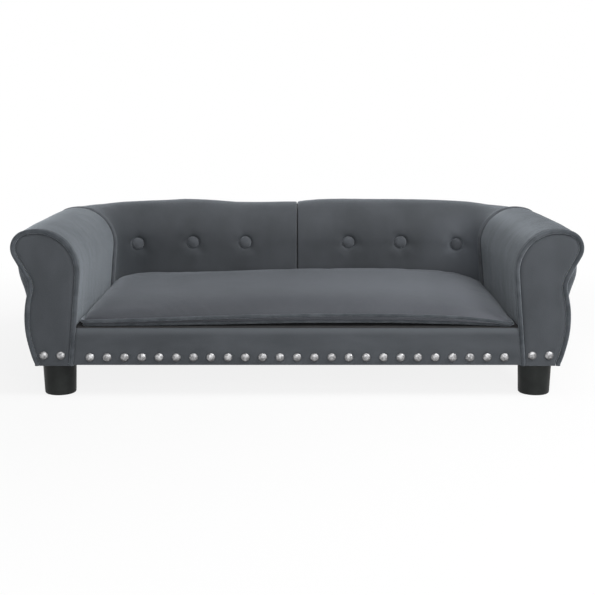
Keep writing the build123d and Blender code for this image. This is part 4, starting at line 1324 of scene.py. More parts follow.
def rail_outline(inset, step):
    """Front outline of the rail: slanted ends beside the arms and round upper corners."""
    foot, top = RAIL_FOOT + inset, RAIL_TOP - inset
    ends = []
    for z in np.linspace(foot, top, RAIL_ROWS):
        radius = max(RAIL_END_ROUND - inset, 0.0)
        corner = np.clip(z - (RAIL_TOP - RAIL_END_ROUND), 0, radius)
        rounding = radius - math.sqrt(max(radius**2 - corner**2, 0.0))
        ends.append((CORNER_X + inner_s(z, 0.0) + RAIL_END_GAP - inset - rounding, z))
    right = np.array(ends)
    return resample(np.vstack((right, right[::-1] * (-1, 1))), step, closed=True)


def rail_front(x, z, depth, out=0.0):
    """How far forward the rail's face stands at a place, with its crown, dents and rolled edge."""
    roll = np.clip(depth / RAIL_ROUND, 0, 1)
    low = smooth_step((z - RAIL_FOOT) / RAIL_LOW_RUN)
    sink = RAIL_ROUND * (1 - np.sqrt(1 - (1 - roll) ** 2)) * (LOW_ROLL + (1 - LOW_ROLL) * low)
    inside = smooth_step(depth / RAIL_HOLD)
    here = np.column_stack((x * 0.7, np.zeros(len(x)), z))
    crown = RAIL_CROWN * np.sin(math.pi * (z - FOOT_TOP) / (SEAT_TOP - FOOT_TOP))
    proud = (crown + ripple(here, 51, RAIL_WAVE_SIZE) * RAIL_WAVE) * inside
    sink = sink + RAIL_TILT * smooth_step((z - RAIL_TOP) / TILT_REACH + 1) ** 2
    dent = np.zeros(len(x))
    for nail in rail_nail_xs:
        gap = np.hypot(x - nail, z - NAIL_HEIGHT)
        dent += RAIL_DENT * np.exp(-((gap / RAIL_DENT_REACH) ** 2))
    return RAIL_FRONT + CLOTH_LIP + sink - proud + dent + out


def make_rail(name, inset, spacing, thickness, out=0.0):
    """The rail's cloth or pad: a face filled with points, and a wall round its edge."""
    edge = rail_outline(inset, spacing)
    rings = np.vstack([rail_outline(inset + d * MM, spacing) for d in RAIL_RINGS])
    flat, triangles, depth = fill_outline(edge, spacing, rings)
    x, z = flat[:, 0], flat[:, 1]
    face = np.column_stack((x, rail_front(x, z, depth + inset, out), z))
    border = find_border(triangles)
    vertices, faces, levels = list(face), [tuple(f) for f in triangles], []
    for share in WALL_SHARES:
        levels.append({a: len(vertices) + k for k, (a, _) in enumerate(border)})
        for a, _ in border:
            y = face[a, 1] + (RAIL_BACK - face[a, 1]) * share
            vertices.append(np.array((x[a], y, z[a])))
    middle, back = levels
    for a, b in border:
        faces.append((b, a, middle[a], middle[b]))
        faces.append((middle[b], middle[a], back[a], back[b]))
    return soften(link_mesh(name, vertices, faces), thickness=thickness)


rail = make_rail("front_rail_cover", 0.0, 3.4 * MM, COVER_THICKNESS)
hand_over(rail, "bed", "velvet", rail_velvet, "front_rail_cover")
rail_pad = make_rail("front_rail_pad", 2.0 * MM, 9 * MM, 3.0 * MM, 1.5 * MM)
hand_over(rail_pad, "bed", "foam", foam_yellow, "front_rail_pad")
print("rail triangles", len(rail.data.polygons) * 2)

# %% [markdown]
# The nails are domed heads with a hammered face. Each blow of the hammer leaves a small
# flat, so one head is a low-poly dome with uneven facets, and Geometry Nodes set a copy at
# each place, turned by a random angle about its shank so that no two catch the light alike.

# %% Decorative nails
NAIL_RISE = 3.6 * MM
NAIL_FACE_RADIUS = 7.5 * MM
SHANK_RADIUS = 1.2 * MM
SHANK_SIDES = 10
NAIL_RINGS = ((7, 24.0), (12, 47.0), (16, 70.0), (18, 88.0))
HAMMERED_RINGS = 3
TURN_LIMITS, WIDTH_LIMITS, RISE_LIMITS = (-0.22, 0.22), (-0.07, 0.03), (-0.05, 0.04)


def nail_point(radius, turn, height):
    return (radius * math.cos(turn), radius * math.sin(turn), height)


def hammered_nail():
    """One nail along +Z: a faceted head on a thin shank."""
    draw = np.random.default_rng(29)
    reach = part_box("arm_nails")[1].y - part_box("arm_nails")[0].y - NAIL_RISE
    vertices = [(0.0, 0.0, NAIL_RISE * 0.97)]
    for ring, (count, angle) in enumerate(NAIL_RINGS):
        a = math.radians(angle)
        for k in range(count):
            shake = wide = high = 0.0
            if ring < HAMMERED_RINGS:
                shake = draw.uniform(*TURN_LIMITS)
                wide, high = draw.uniform(*WIDTH_LIMITS), draw.uniform(*RISE_LIMITS)
            turn = 2 * math.pi * (k + 0.5 * (ring % 2)) / count
            turn += shake * 2 * math.pi / count
            radius = NAIL_FACE_RADIUS * math.sin(a) * (1 + wide)
            vertices.append(nail_point(radius, turn, NAIL_RISE * math.cos(a) * (1 + high)))
    head = len(vertices)
    for radius, height in (
        (NAIL_FACE_RADIUS * 0.96, -0.35 * MM), (SHANK_RADIUS, -0.3 * MM),
        (SHANK_RADIUS, -reach * 0.85), (SHANK_RADIUS * 0.2, -reach),
    ):
        for k in range(SHANK_SIDES):
            vertices.append(nail_point(radius, 2 * math.pi * k / SHANK_SIDES, height))
    mesh = bmesh.new()
    for vertex in vertices:
        mesh.verts.new(vertex)
    mesh.verts.ensure_lookup_table()
    cap = mesh.verts[: head + SHANK_SIDES]
    bmesh.ops.convex_hull(mesh, input=cap, use_existing_faces=False)
    mesh.verts.ensure_lookup_table()
    rings = [
        [mesh.verts[head + ring * SHANK_SIDES + k] for k in range(SHANK_SIDES)]
        for ring in range(4)
    ]
    for upper, lower in zip(rings[1:], rings[2:]):
        for k in range(SHANK_SIDES):
            n = (k + 1) % SHANK_SIDES
            mesh.faces.new((upper[k], lower[k], lower[n], upper[n]))
    mesh.faces.new(rings[1])
    mesh.faces.new(rings[3][::-1])
    bmesh.ops.recalc_face_normals(mesh, faces=mesh.faces)
    return bmesh_object("hammered_nail", mesh)


def make_nail_tree():
    """A copy of the nail on every point of a mesh, facing forwards, at random turns."""
    tree, given, out = new_tree(
        "nail_row",
        [("Nail", "NodeSocketObject", None), ("Tilt", VALUE, 0.06), ("Seed", WHOLE, 3)],
    )
    sockets = given.outputs
    nail = node(tree, "GeometryNodeObjectInfo", {"Object": sockets["Nail"]})
    points = node(tree, "GeometryNodeMeshToPoints", {"Mesh": sockets["Geometry"]})
    spin = node(
        tree, "FunctionNodeRandomValue", {"Seed": sockets["Seed"], 3: 2 * math.pi},
        data_type="FLOAT",
    )
    tilt = {
        2: maths(tree, "MULTIPLY", sockets["Tilt"], -1.0), 3: sockets["Tilt"],
        "Seed": maths(tree, "ADD", sockets["Seed"], 5.0),
    }
    lean = node(tree, "FunctionNodeRandomValue", tilt, data_type="FLOAT")
    forwards = maths(tree, "ADD", lean.outputs[1], math.pi / 2)
    turn = node(tree, "ShaderNodeCombineXYZ", {"X": forwards})
    own = node(tree, "ShaderNodeCombineXYZ", {"Z": spin.outputs[1]})
    rotate = node(
        tree, "FunctionNodeRotateRotation", {0: turn.outputs[0], 1: own.outputs[0]},
        rotation_space="LOCAL",
    )
    copies = node(tree, "GeometryNodeInstanceOnPoints", {
        "Points": points.outputs["Points"], "Instance": nail.outputs["Geometry"],
        "Rotation": rotate.outputs[0],
    })
    return end_tree(tree, given, out, copies.outputs["Instances"])


nail_tree = make_nail_tree()
nail_pattern = hammered_nail()
nail_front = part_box("front_rail_nails")[0].y + NAIL_RISE
rail_places = [(x, nail_front, NAIL_HEIGHT) for x in rail_nail_xs]
arm_places = [
    ((x + arm_nail_shift[s]) * s, nail_front, z) for s in (-1, 1) for x, z in arm_nail_places
]
for name, places, seed in (
    ("front_rail_nails", rail_places, 3), ("arm_nails", arm_places, 8),
):
    row = link_mesh(name, places, [])
    nails = grow(row, nail_tree, Nail=nail_pattern, Tilt=0.05, Seed=seed, Material=nail_metal)
    hand_over(nails, "bed", "nail_metal", nail_metal, name)
    print(name, "triangles", len(nails.data.polygons))
bpy.data.objects.remove(nail_pattern)

# %% [markdown]
# The loose cushion lies between the arms. It is two panels of velvet joined by a low boxing,
# with piping in both seams. Its outline comes first: a rectangle with round corners whose
# long sides are drawn in a little, as the pull of the stuffing does.

# %% The cushion's outline
CUSHION_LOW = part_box("cushion_cover")[0].z
CUSHION_SIDE = CORNER_X + inner_s(142.0 * MM, 0.0) - 1.9 * MM
CUSHION_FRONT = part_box("front_rail_cover")[0].y + 5.0 * MM
CUSHION_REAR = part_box("cushion_upper_welt")[1].y
CUSHION_FRONT_ROUND, CUSHION_REAR_ROUND = 14.0 * MM, 52.0 * MM
CUSHION_BOW = 3.0 * MM
SMALLEST_ROUND, CORNER_POINTS = 4 * MM, 24
UPPER_SEAM, LOWER_SEAM = 142.0 * MM, 127.5 * MM
SEAM_INSET = 5.3 * MM


def cushion_outline(inset, step=3.0 * MM):
    """The cushion's plan at a distance inside its piping, counter-clockwise from the front."""
    side = CUSHION_SIDE - inset
    front, rear = CUSHION_FRONT + inset, CUSHION_REAR - inset
    points = []
    for x_way, y_way, start in ((1, -1, -90), (1, 1, 0), (-1, 1, 90), (-1, -1, 180)):
        corner = CUSHION_FRONT_ROUND if y_way < 0 else CUSHION_REAR_ROUND
        radius = max(corner - inset, SMALLEST_ROUND)
        centre = (x_way * (side - radius), (front if y_way < 0 else rear) - y_way * radius)
        turn = math.radians(start)
        points.append(along_arc(centre, radius, turn, turn + math.pi / 2, CORNER_POINTS))
    line = resample(np.vstack(points), step, closed=True)
    middle, half = (front + rear) / 2, (rear - front) / 2
    x_share, y_share = line[:, 0] / side, (line[:, 1] - middle) / half
    on_side = smooth_step((abs(x_share) - 0.8) / 0.2) * np.sign(x_share)
    on_end = smooth_step((abs(y_share) - 0.7) / 0.3) * (y_share < 0)
    line[:, 0] -= on_side * CUSHION_BOW * (1 - y_share**2)
    line[:, 1] += on_end * CUSHION_BOW * (1 - x_share**2)
    return line


# Heights in millimetres along the cushion's front, of its upper seam and its underside.
SEAM_TOP = (
    (-366, 131.0), (-300, 132.6), (-262, 133.8), (-195, 135.9), (-128, 138.2), (-30, 140.4),
    (73, 142.0), (207, 140.6), (274, 137.6), (307, 134.9), (341, 129.9), (366, 126.0),
)
UNDERSIDE = (
    (-366, 120.6), (-195, 121.4), (-95, 123.0), (0, 124.8), (173, 125.0), (240, 123.8),
    (307, 122.0), (366, 120.4),
)
SIDE_SEAM = 133.0 * MM
PIPING_RADIUS = 3.0 * MM
FRONT_REACH = 46.0 * MM
LOWER_SEAM_SHARE = 0.17
ZIP_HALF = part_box("cushion_zip")[1].x + 6.0 * MM
FRONT_START, REAR_START, REAR_RISE = 6 * MM, 90 * MM, 80 * MM
ZIP_START, ZIP_FADE = 12 * MM, 75 * MM
TABLE_POINTS, SMOOTHING = 200, 25


def eased(x, stations):
    """A smooth line through stations, in millimetres along the cushion's front."""
    table = np.array(stations)
    fine = np.linspace(table[0, 0], table[-1, 0], TABLE_POINTS)
    heights = np.interp(fine, table[:, 0], table[:, 1])
    kernel = np.hanning(SMOOTHING)
    padded = np.pad(heights, SMOOTHING // 2, mode="reflect", reflect_type="odd")
    heights = np.convolve(padded, kernel / kernel.sum(), "valid")
    return np.interp(x / MM, fine, heights) * MM


def slump(points):
    """How the soft cushion lies: seams level behind, low at the sides, risen in front."""
    x, y, z = points[:, 0], points[:, 1], points[:, 2]
    near = 1 - smooth_step((y - CUSHION_FRONT - FRONT_START) / FRONT_REACH)
    wide = 1 - smooth_step((y - CUSHION_FRONT - FRONT_START) / (5 * FRONT_REACH))
    rear = smooth_step((y - CUSHION_REAR + REAR_START) / REAR_RISE)
    rear = rear * (1 - smooth_step((abs(x) - ZIP_HALF + ZIP_START) / ZIP_FADE))
    seam = SIDE_SEAM + (eased(x, SEAM_TOP) - PIPING_RADIUS - SIDE_SEAM) * wide
    seam += (UPPER_SEAM - SIDE_SEAM) * rear
    under = CUSHION_LOW + (eased(x, UNDERSIDE) - CUSHION_LOW) * near
    even = (LOWER_SEAM - CUSHION_LOW) / (UPPER_SEAM - CUSHION_LOW)
    low_share = even + (LOWER_SEAM_SHARE - even) * near
    upper = low_share + (1 - low_share) * (z - LOWER_SEAM) / (UPPER_SEAM - LOWER_SEAM)
    lower = low_share * (z - CUSHION_LOW) / (LOWER_SEAM - CUSHION_LOW)
    moved = points.copy()
    below = under + np.where(z > LOWER_SEAM, upper, lower) * (seam - under)
    moved[:, 2] = np.where(z < UPPER_SEAM, below, seam + (z - UPPER_SEAM))
    return moved


# %% [markdown]
# The stuffed form is a cloth simulation. The panels are filled with evenly spread
# triangles, so that the cloth bends the same in every direction. The seams are pinned,
# because piping holds them, and air pressure lifts the panels between them. The cloth is
# made a little larger than its outline, which gives the small puckers along the seams.

# %% The stuffed cushion
ARM_GAP = 2.2 * MM
SIDE_PRESS = 4.2 * MM
WELT_DROP = 3.4 * MM
EDGE_CROWN = 13.0 * MM
MIDDLE_CROWN = (
    (-366, 0.0), (-300, 0.4), (-236, 5.6), (-195, 8.0), (-145, 10.0), (-97, 11.8), (-45, 12.8),
    (30, 14.0), (105, 13.4), (165, 12.6), (225, 10.2), (265, 5.6), (300, 3.0), (366, 0.5),
)
CROWN_REACHES = {"front": 70.0 * MM, "rear": 20.0 * MM, "side": 16.0 * MM}

# The puff beside each arm, left and right: its rise, its start and how far it fades.
SIDE_RISES, SIDE_STARTS = (8.5 * MM, 5.0 * MM), (48.0 * MM, 60.0 * MM)
SIDE_FADES = (60.0 * MM, 110.0 * MM)
SIDE_REACH = 3.5 * MM
FRONT_RISE = 4.0 * MM
FRONT_RISE_REACH = 3.0 * MM
FRONT_RISE_FADE, PUFF_TURN = 60 * MM, 300 * MM
BOXING_BULGE = 2.6 * MM
LOWER_TUCK, TUCK_START, TUCK_FADE = 3.5 * MM, 110 * MM, 60 * MM
PRESS_WIDTH, PRESS_RUN = 60 * MM, 50 * MM
PRESS_FRONT, PRESS_FRONT_RUN = 12 * MM, 60 * MM
PRESS_REAR, PRESS_REAR_RUN = 100 * MM, 70 * MM
ZIP_FLAT_RUN, ZIP_FLAT_DEPTH, ZIP_CLEAR = 8 * MM, 12 * MM, 0.1 * MM
PANEL_SPACING = 7.5 * MM
CUSHION_RINGS, BOXING_ROWS = (2.0, 4.6, 8.2), (0.2, 0.4, 0.6, 0.8)
UNDER_EDGE, UNDER_ROUND = 14 * MM, 16 * MM
CLOTH_SETTINGS = {
    "quality": 6, "mass": 0.25, "use_pressure": True, "uniform_pressure_force": 3.0,
    "tension_stiffness": 18.0, "compression_stiffness": 18.0, "shear_stiffness": 8.0,
    "bending_stiffness": 0.35, "shrink_min": -0.002,
}
SWELL_FRAMES, SWELL_CAP = 20, 6.0 * MM
CUSHION_FOAM_INSET, CUSHION_FOAM_SPACING, FOAM_FULLNESS = 4.5 * MM, 16 * MM, 0.8


def crown_height(flat, depth):
    """Height of the top panel over its seam: slow from the front, quick behind and beside."""
    x, y = flat[:, 0], flat[:, 1]
    from_side = np.clip(CUSHION_SIDE - SEAM_INSET - abs(x), 0, 1)
    rise = EDGE_CROWN + eased(x, MIDDLE_CROWN)
    for gap, reach in (
        (y - CUSHION_FRONT - SEAM_INSET, CROWN_REACHES["front"]),
        (CUSHION_REAR - SEAM_INSET - y, CROWN_REACHES["rear"]),
        (from_side, CROWN_REACHES["side"]),
    ):
        rise = rise * (1 - np.exp(-np.clip(gap, 0, 1) / reach))
    right = smooth_step(x / PUFF_TURN + 0.5)
    side_rise, start, fade = (
        left_value + (right_value - left_value) * right
        for left_value, right_value in (SIDE_RISES, SIDE_STARTS, SIDE_FADES)
    )
    puff = side_rise * (1 - np.exp(-depth / SIDE_REACH))
    puff = puff * smooth_step((y - CUSHION_FRONT) / start) * np.exp(-from_side / fade)
    away = smooth_step((y - CUSHION_FRONT) / FRONT_RISE_FADE)
    front = FRONT_RISE * (1 - np.exp(-depth / FRONT_RISE_REACH)) * (1 - away)
    return rise + puff + front


def drawn_under(points, inset, share=1.0):
    """Outline points drawn in under the cushion, except behind, where the zip is flat."""
    inner = match_ring(points, cushion_outline(inset + LOWER_TUCK * share))
    keep = 1 - smooth_step((points[:, 1] - CUSHION_REAR + TUCK_START) / TUCK_FADE)
    return points + (inner - points) * keep[:, None]


def beside_share(points):
    """How far points belong to the cushion's sides, which the arms press flat."""
    x, y = points[:, 0], points[:, 1]
    share = smooth_step((abs(x) - CUSHION_SIDE + PRESS_WIDTH) / PRESS_RUN)
    share = share * smooth_step((y - CUSHION_FRONT - PRESS_FRONT) / PRESS_FRONT_RUN)
    return share * (1 - smooth_step((y - CUSHION_REAR + PRESS_REAR) / PRESS_REAR_RUN))


def beside_arms(points, margin=0.0):
    """Points moved out towards the arms, but not nearer to them than the gap."""
    moved = points.copy()
    x = points[:, 0]
    reach = abs(x) + SIDE_PRESS * beside_share(points)
    most = CORNER_X + inner_s(points[:, 2], 0.0) - ARM_GAP - margin
    moved[:, 0] = np.sign(x) * np.minimum(reach, most)
    return moved


def beside_zip(points):
    """Boxing points pressed flat against the zip's tape."""
    x, y = points[:, 0], points[:, 1]
    share = smooth_step((ZIP_HALF - abs(x)) / ZIP_FLAT_RUN)
    flat_share = share * (y > CUSHION_REAR - ZIP_FLAT_DEPTH)
    moved = points.copy()
    moved[:, 1] += (np.minimum(y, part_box("cushion_zip")[0].y - ZIP_CLEAR) - y) * flat_share
    return moved


def cushion_mesh(shrink=0.0, spacing=PANEL_SPACING, fullness=1.0):
    """Top panel, boxing and bottom panel as one closed mesh, with its pinned points."""
    inset = SEAM_INSET + shrink
    edge = cushion_outline(inset, spacing * 0.7)
    rings = np.vstack([cushion_outline(inset + d * MM, spacing * 0.7) for d in CUSHION_RINGS])
    flat, triangles, depth = fill_outline(edge, spacing, rings)
    count, ring = len(flat), len(edge)
    top = np.column_stack((flat, UPPER_SEAM + crown_height(flat, depth) * fullness - shrink))
    near = depth < UNDER_EDGE
    under = flat.copy()
    at_edge = (1 - smooth_step(depth[near] / UNDER_EDGE))[:, None]
    under[near] += (drawn_under(flat[near], inset) - flat[near]) * at_edge
    fall = smooth_step(depth / UNDER_ROUND) ** 0.6
    low = LOWER_SEAM - (LOWER_SEAM - CUSHION_LOW - shrink) * fall
    bottom = np.column_stack((under, low))
    rows = []
    for share in BOXING_ROWS:
        level = np.full(ring, UPPER_SEAM + (LOWER_SEAM - UPPER_SEAM) * share)
        bulge = BOXING_BULGE * math.sin(math.pi * share) * (shrink == 0)
        out = inset - bulge
        side = drawn_under(match_ring(edge, cushion_outline(out)), out, share**2)
        rows.append(np.column_stack((beside_zip(side), level)))
    vertices = np.vstack([top, bottom] + rows)
    faces = [tuple(face) for face in triangles] + behind(triangles, count)
    starts = [0] + [2 * count + k * ring for k in range(len(rows))] + [count]
    rings = [start + np.arange(ring) for start in starts]
    for upper, lower in zip(rings, rings[1:]):
        for k in range(ring):
            n = (k + 1) % ring
            faces.append((upper[k], lower[k], lower[n], upper[n]))
    pinned = list(range(ring)) + [count + i for i in range(count)]
    return vertices, [tuple(int(i) for i in face) for face in faces], pinned


def match_ring(outer, inner):
    """For each point of one ring, the nearest place on another."""
    fine = resample(inner, 0.5 * MM, closed=True)
    nearest = [fine[np.argmin(np.sum((fine - point) ** 2, axis=1))] for point in outer]
    return np.array(nearest)


def inflate(piece, pinned):
    """Swell a closed cloth for some frames and keep its shape, with a limit to each move."""
    rest = np.array([tuple(v.co) for v in piece.data.vertices])
    group = piece.vertex_groups.new(name="seams")
    group.add(pinned, 1.0, "REPLACE")
    cloth = piece.modifiers.new("cloth", "CLOTH")
    settings = cloth.settings
    settings.vertex_group_mass = "seams"
    for title, value in CLOTH_SETTINGS.items():
        setattr(settings, title, value)
    settings.effector_weights.gravity = 0.0
    cloth.point_cache.frame_start, cloth.point_cache.frame_end = 1, SWELL_FRAMES
    scene = bpy.context.scene
    for frame_number in range(1, SWELL_FRAMES + 1):
        scene.frame_set(frame_number)
    graph = bpy.context.evaluated_depsgraph_get()
    swollen = piece.evaluated_get(graph).to_mesh()
    after = np.array([tuple(v.co) for v in swollen.vertices])
    piece.evaluated_get(graph).to_mesh_clear()
    piece.modifiers.remove(cloth)
    scene.frame_set(1)
    piece.vertex_groups.clear()
    move = after - rest
    far = np.linalg.norm(move, axis=1)
    move *= (SWELL_CAP * np.tanh(far / SWELL_CAP) / np.maximum(far, 1e-9))[:, None]
    kept = np.linalg.norm(move, axis=1)
    print("swelling", round(far.max() / MM, 1), "mm at most, kept", round(kept.max() / MM, 1))
    return rest + move


def set_points(piece, points):
    """Move a mesh's points without changing its faces."""
    piece.data.vertices.foreach_set("co", np.asarray(points, dtype=np.float32).ravel())
    piece.data.update()


vertices, faces, pinned = cushion_mesh()
cushion = link_mesh("cushion_cover", vertices, faces)
vertices = inflate(cushion, pinned)
set_points(cushion, beside_arms(slump(vertices)))
cushion = soften(outwards(cushion), level=1)
hand_over(cushion, "cushion", "velvet", seat_velvet, "cushion_cover")
vertices, faces, _ = cushion_mesh(CUSHION_FOAM_INSET, CUSHION_FOAM_SPACING, FOAM_FULLNESS)
cushion_foam = soften(outwards(link_mesh("cushion_foam", slump(vertices), faces)))
hand_over(cushion_foam, "cushion", "foam", foam_yellow, "cushion_foam")
print("cushion triangles", len(cushion.data.polygons) * 4)

# %% Cushion piping
WELT_INSET = 2.9 * MM
welt_plan = cushion_outline(WELT_INSET, 2.5 * MM)
for name, z, radius, plan in (
    ("cushion_upper_welt", UPPER_SEAM, PIPING_RADIUS, welt_plan),
    ("cushion_lower_welt", LOWER_SEAM, 2.5 * MM, drawn_under(welt_plan, WELT_INSET)),
):
    line = slump(np.column_stack((plan, np.full(len(plan), z))))
    line[:, 2] -= WELT_DROP * beside_share(line) * (z == UPPER_SEAM)
    line = beside_arms(line, radius)
    welt = grow(
        curve_object(name, line, closed=True), piping_tree, Radius=radius, Step=PIPING_STEP,
        Sides=12, Wander=0.5 * MM, Seed=z * 100, Material=piping_velvet,
    )
    hand_over(outwards(welt), "cushion", "velvet_piping", piping_velvet, name)
    print(name, "triangles", len(welt.data.polygons) * 2)

# %% [markdown]
# The feet are turned plastic, black with a soft shine. They taper a little towards the
# floor, their lower edge is rounded by wear, and a small step shows where the glide is set
# into the base. A profile spun round the foot's axis gives all of it.

# %% Feet
FOOT_TURNS = 64
FOOT_TAPER = 2.0 * MM


def foot_profile(top_radius, bottom_radius, height):
    """Radius and height from the middle of the base round to the middle of the top."""
    edge = 3.0 * MM
    low = [(0.0, 1.2 * MM), (bottom_radius * 0.62, 1.2 * MM), (bottom_radius * 0.66, 0.0)]
    low += [
        (bottom_radius - edge + edge * math.sin(a), edge - edge * math.cos(a))
        for a in np.linspace(0, math.pi / 2, 7)
    ]
    wall = [
        (bottom_radius + (top_radius - bottom_radius) * t, height * t)
        for t in (0.12, 0.3, 0.55, 0.8, 0.93)
    ]
    groove = [
        (top_radius - 0.1 * MM, height - 3.2 * MM), (top_radius - 0.7 * MM, height - 2.6 * MM),
        (top_radius - 0.7 * MM, height - 2.0 * MM), (top_radius, height - 1.4 * MM),
    ]
    return low + wall + groove + [(top_radius, height), (0.0, height)]


for name in paired("foot_front", "foot_rear"):
    low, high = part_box(name)
    centre = ((low.x + high.x) / 2, (low.y + high.y) / 2)
    top_radius = (high.x - low.x) / 2 - 0.6 * MM
    profile = np.array(foot_profile(top_radius, top_radius - FOOT_TAPER, high.z))
    turn = np.arange(FOOT_TURNS) * 2 * math.pi / FOOT_TURNS
    ring = np.column_stack((np.cos(turn), np.sin(turn), np.zeros(FOOT_TURNS)))
    rows = [ring * r + (*centre, h) for r, h in profile]
    faces = grid_faces(len(rows), FOOT_TURNS, True)
    foot = soften(outwards(link_mesh(name, np.vstack(rows), faces)))
    hand_over(foot, "bed", "foot_plastic", foot_plastic, name)
print("foot triangles", len(foot.data.polygons) * 2)

# %% [markdown]
# Two thin black cloths are stretched over the frame. The lining covers the deck, and a
# tab of it is drawn over the rail's top in front: a black sheet that stands in for the
# shade under the cushion's front, so painted shade. The dust cover closes the frame from
# below. Both are outlines filled with points.

# %% Lining and dust cover
CLOTH_SPACING = 12 * MM


def frame_plan(out_s, front):
    """Plan of the seat frame: straight sides and front, round rear corners."""
    turn = np.linspace(0, math.pi / 2, 16)
    right = np.column_stack((CORNER_X + out_s * np.cos(turn), CORNER_Y + out_s * np.sin(turn)))
    left = right[::-1] * (-1, 1)
    plan = np.vstack(([(CORNER_X + out_s, front)], right, left, [(-CORNER_X - out_s, front)]))
    return resample(plan, CLOTH_SPACING, closed=True)


def stretched_cloth(name, plan, low, high, material, slot):
    """A flat cloth between its tacked edges, its lower and upper face given as functions."""
    flat, triangles, _ = fill_outline(plan, CLOTH_SPACING)
    top, bottom = (np.column_stack((flat, face(flat))) for face in (high, low))
    cloth = slab(name, top, bottom, triangles)
    hand_over(cloth, "bed", slot, material, name)


lining_low, lining_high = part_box("deck_lining")
dust_low, dust_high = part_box("dust_cover")
LINING_FRONT = RAIL_FRONT + 3.0 * MM
LINING_SLACK = 0.15 * MM
LINING_OVER, LINING_UNDER, SHADE_TAB_POINTS = 0.35 * MM, 0.15 * MM, (60, 4)
rail_end = CORNER_X + inner_s(SEAT_TOP, 0.0) + 3.5 * MM


def shade_tab_share(flat):
    """One where the lining's tab, painted shade, lies on the rail's top, and nothing on the deck.
    """
    return 1 - smooth_step((flat[:, 1] - lining_low.y + 3.0 * MM) / (2.6 * MM))


def slack(flat):
    """How far the lining hangs between its tacks."""
    here = np.column_stack((flat, np.zeros(len(flat))))
    return LINING_SLACK * (0.5 + 0.5 * np.clip(ripple(here, 71, 0.2), -1, 1))


def lining_top(flat):
    deck = lining_high.z - 0.1 * MM
    return deck + (RAIL_TOP + LINING_OVER - deck) * shade_tab_share(flat) - slack(flat)


def lining_bottom(flat):
    return lining_low.z + (RAIL_TOP - LINING_UNDER - lining_low.z) * shade_tab_share(flat)


lining_plan = frame_plan(lining_high.x - CORNER_X, lining_low.y)
# The tab over the rail's top is painted shade under the cushion's front.
shade_tab = np.array([(rail_end, LINING_FRONT), (rail_end, lining_low.y - 0.1 * MM)])
lining_plan = np.vstack((
    along_line((-rail_end, LINING_FRONT), (rail_end, LINING_FRONT), SHADE_TAB_POINTS[0]),
    along_line(shade_tab[0], shade_tab[1], SHADE_TAB_POINTS[1])[1:],
    lining_plan[lining_plan[:, 1] > lining_low.y + 2 * MM],
    along_line(shade_tab[1] * (-1, 1), shade_tab[0] * (-1, 1), SHADE_TAB_POINTS[1])[:-1],
))
stretched_cloth("deck_lining", lining_plan, lining_bottom, lining_top, lining_black,
                "lining_cloth")
stretched_cloth(
    "dust_cover", frame_plan(dust_high.x - CORNER_X, dust_low.y),
    lambda flat: np.full(len(flat), dust_low.z), lambda flat: np.full(len(flat), dust_high.z),
    dust_black, "dust_cloth",
)

# %% [markdown]
# The zip closes the cushion's rear edge: a woven tape, two rows of small metal teeth that
# mesh along its middle, and a slider. The teeth repeat hundreds of times, so each has only
# a few faces, and Geometry Nodes place them along the tape.

# %% Zip
zip_low, zip_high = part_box("cushion_zip")


def box_mesh(name, low, high, bevel=0.0):
    """A box between two corners, with its edges rounded."""
    mesh = bmesh.new()
    bmesh.ops.create_cube(mesh, size=1.0)
    low, high = np.array(low), np.array(high)
    for vertex in mesh.verts:
        vertex.co = (low + high) / 2 + np.array(vertex.co) * (high - low)
    if bevel:
        bmesh.ops.bevel(
            mesh, geom=mesh.edges, offset=bevel, segments=2, profile=0.5, affect="EDGES"
        )
    return bmesh_object(name, mesh)


def join(name, *pieces):
    """Several meshes as one."""
    mesh = bmesh.new()
    for piece in pieces:
        mesh.from_mesh(piece.data)
        bpy.data.objects.remove(piece)
    return bmesh_object(name, mesh)


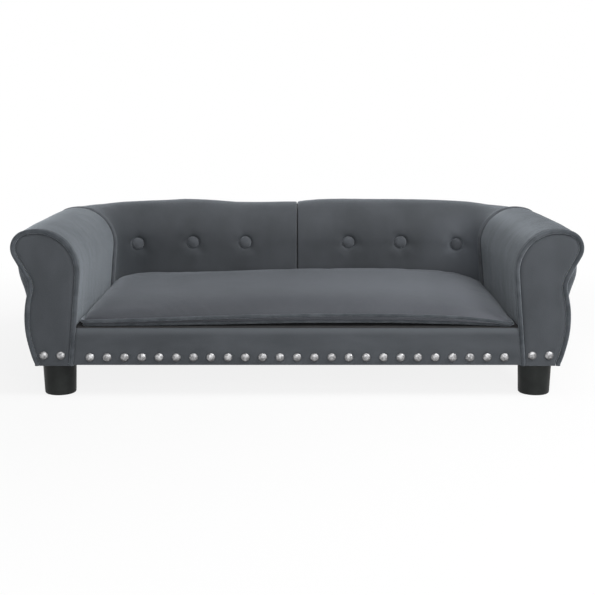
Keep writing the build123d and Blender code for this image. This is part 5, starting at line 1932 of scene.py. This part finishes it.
TAPE = 0.6 * MM
TOOTH_PITCH = 2.6 * MM
TOOTH = (1.5 * MM, 0.9 * MM, 1.9 * MM)


def make_teeth_tree():
    """A row of copies of one tooth, at an even pitch from a first place."""
    tree, given, out = new_tree(
        "zip_teeth",
        [
            ("Tooth", "NodeSocketObject", None),
            ("Count", WHOLE, 10),
            ("Start", VECTOR, None),
            ("Pitch", VECTOR, None),
        ],
    )
    sockets = given.outputs
    row = node(tree, "GeometryNodeMeshLine", {
        "Count": sockets["Count"], "Start Location": sockets["Start"],
        "Offset": sockets["Pitch"],
    })
    tooth = node(tree, "GeometryNodeObjectInfo", {"Object": sockets["Tooth"]})
    copies = node(tree, "GeometryNodeInstanceOnPoints", {
        "Points": row.outputs["Mesh"], "Instance": tooth.outputs["Geometry"],
    })
    return end_tree(tree, given, out, copies.outputs["Instances"])


tape = box_mesh("tape", zip_low, (zip_high.x, zip_low.y + TAPE, zip_high.z), 0.1 * MM)
teeth_tree = make_teeth_tree()
tooth = box_mesh("tooth", [-v / 2 for v in TOOTH], [v / 2 for v in TOOTH])
middle = (zip_low.z + zip_high.z) / 2
teeth_y = zip_low.y + TAPE + TOOTH[1] / 2 - 0.1 * MM
teeth_reach = zip_high.x - 3 * MM
rows = []
for row, way in enumerate((-1, 1)):
    start = (-teeth_reach + row * TOOTH_PITCH / 2, teeth_y, middle + way * 0.75 * MM)
    rows.append(grow(
        link_mesh(f"teeth_{row}", [(0, 0, 0)], []), teeth_tree, Tooth=tooth,
        Count=int(2 * teeth_reach / TOOTH_PITCH), Start=start, Pitch=(TOOTH_PITCH, 0.0, 0.0),
        Material=zip_metal,
    ))
bpy.data.objects.remove(tooth)
zip_chain = join("cushion_zip", tape, *rows)
hand_over(zip_chain, "cushion", "zip_tape", zip_tape_grey, "cushion_zip")
depths = np.array([face.center.y for face in zip_chain.data.polygons])
second_finish(zip_chain, zip_metal, depths > zip_low.y + TAPE + 0.05 * MM)
print("zip faces", len(zip_chain.data.polygons))
finish_node("zip_slider", zip_metal)
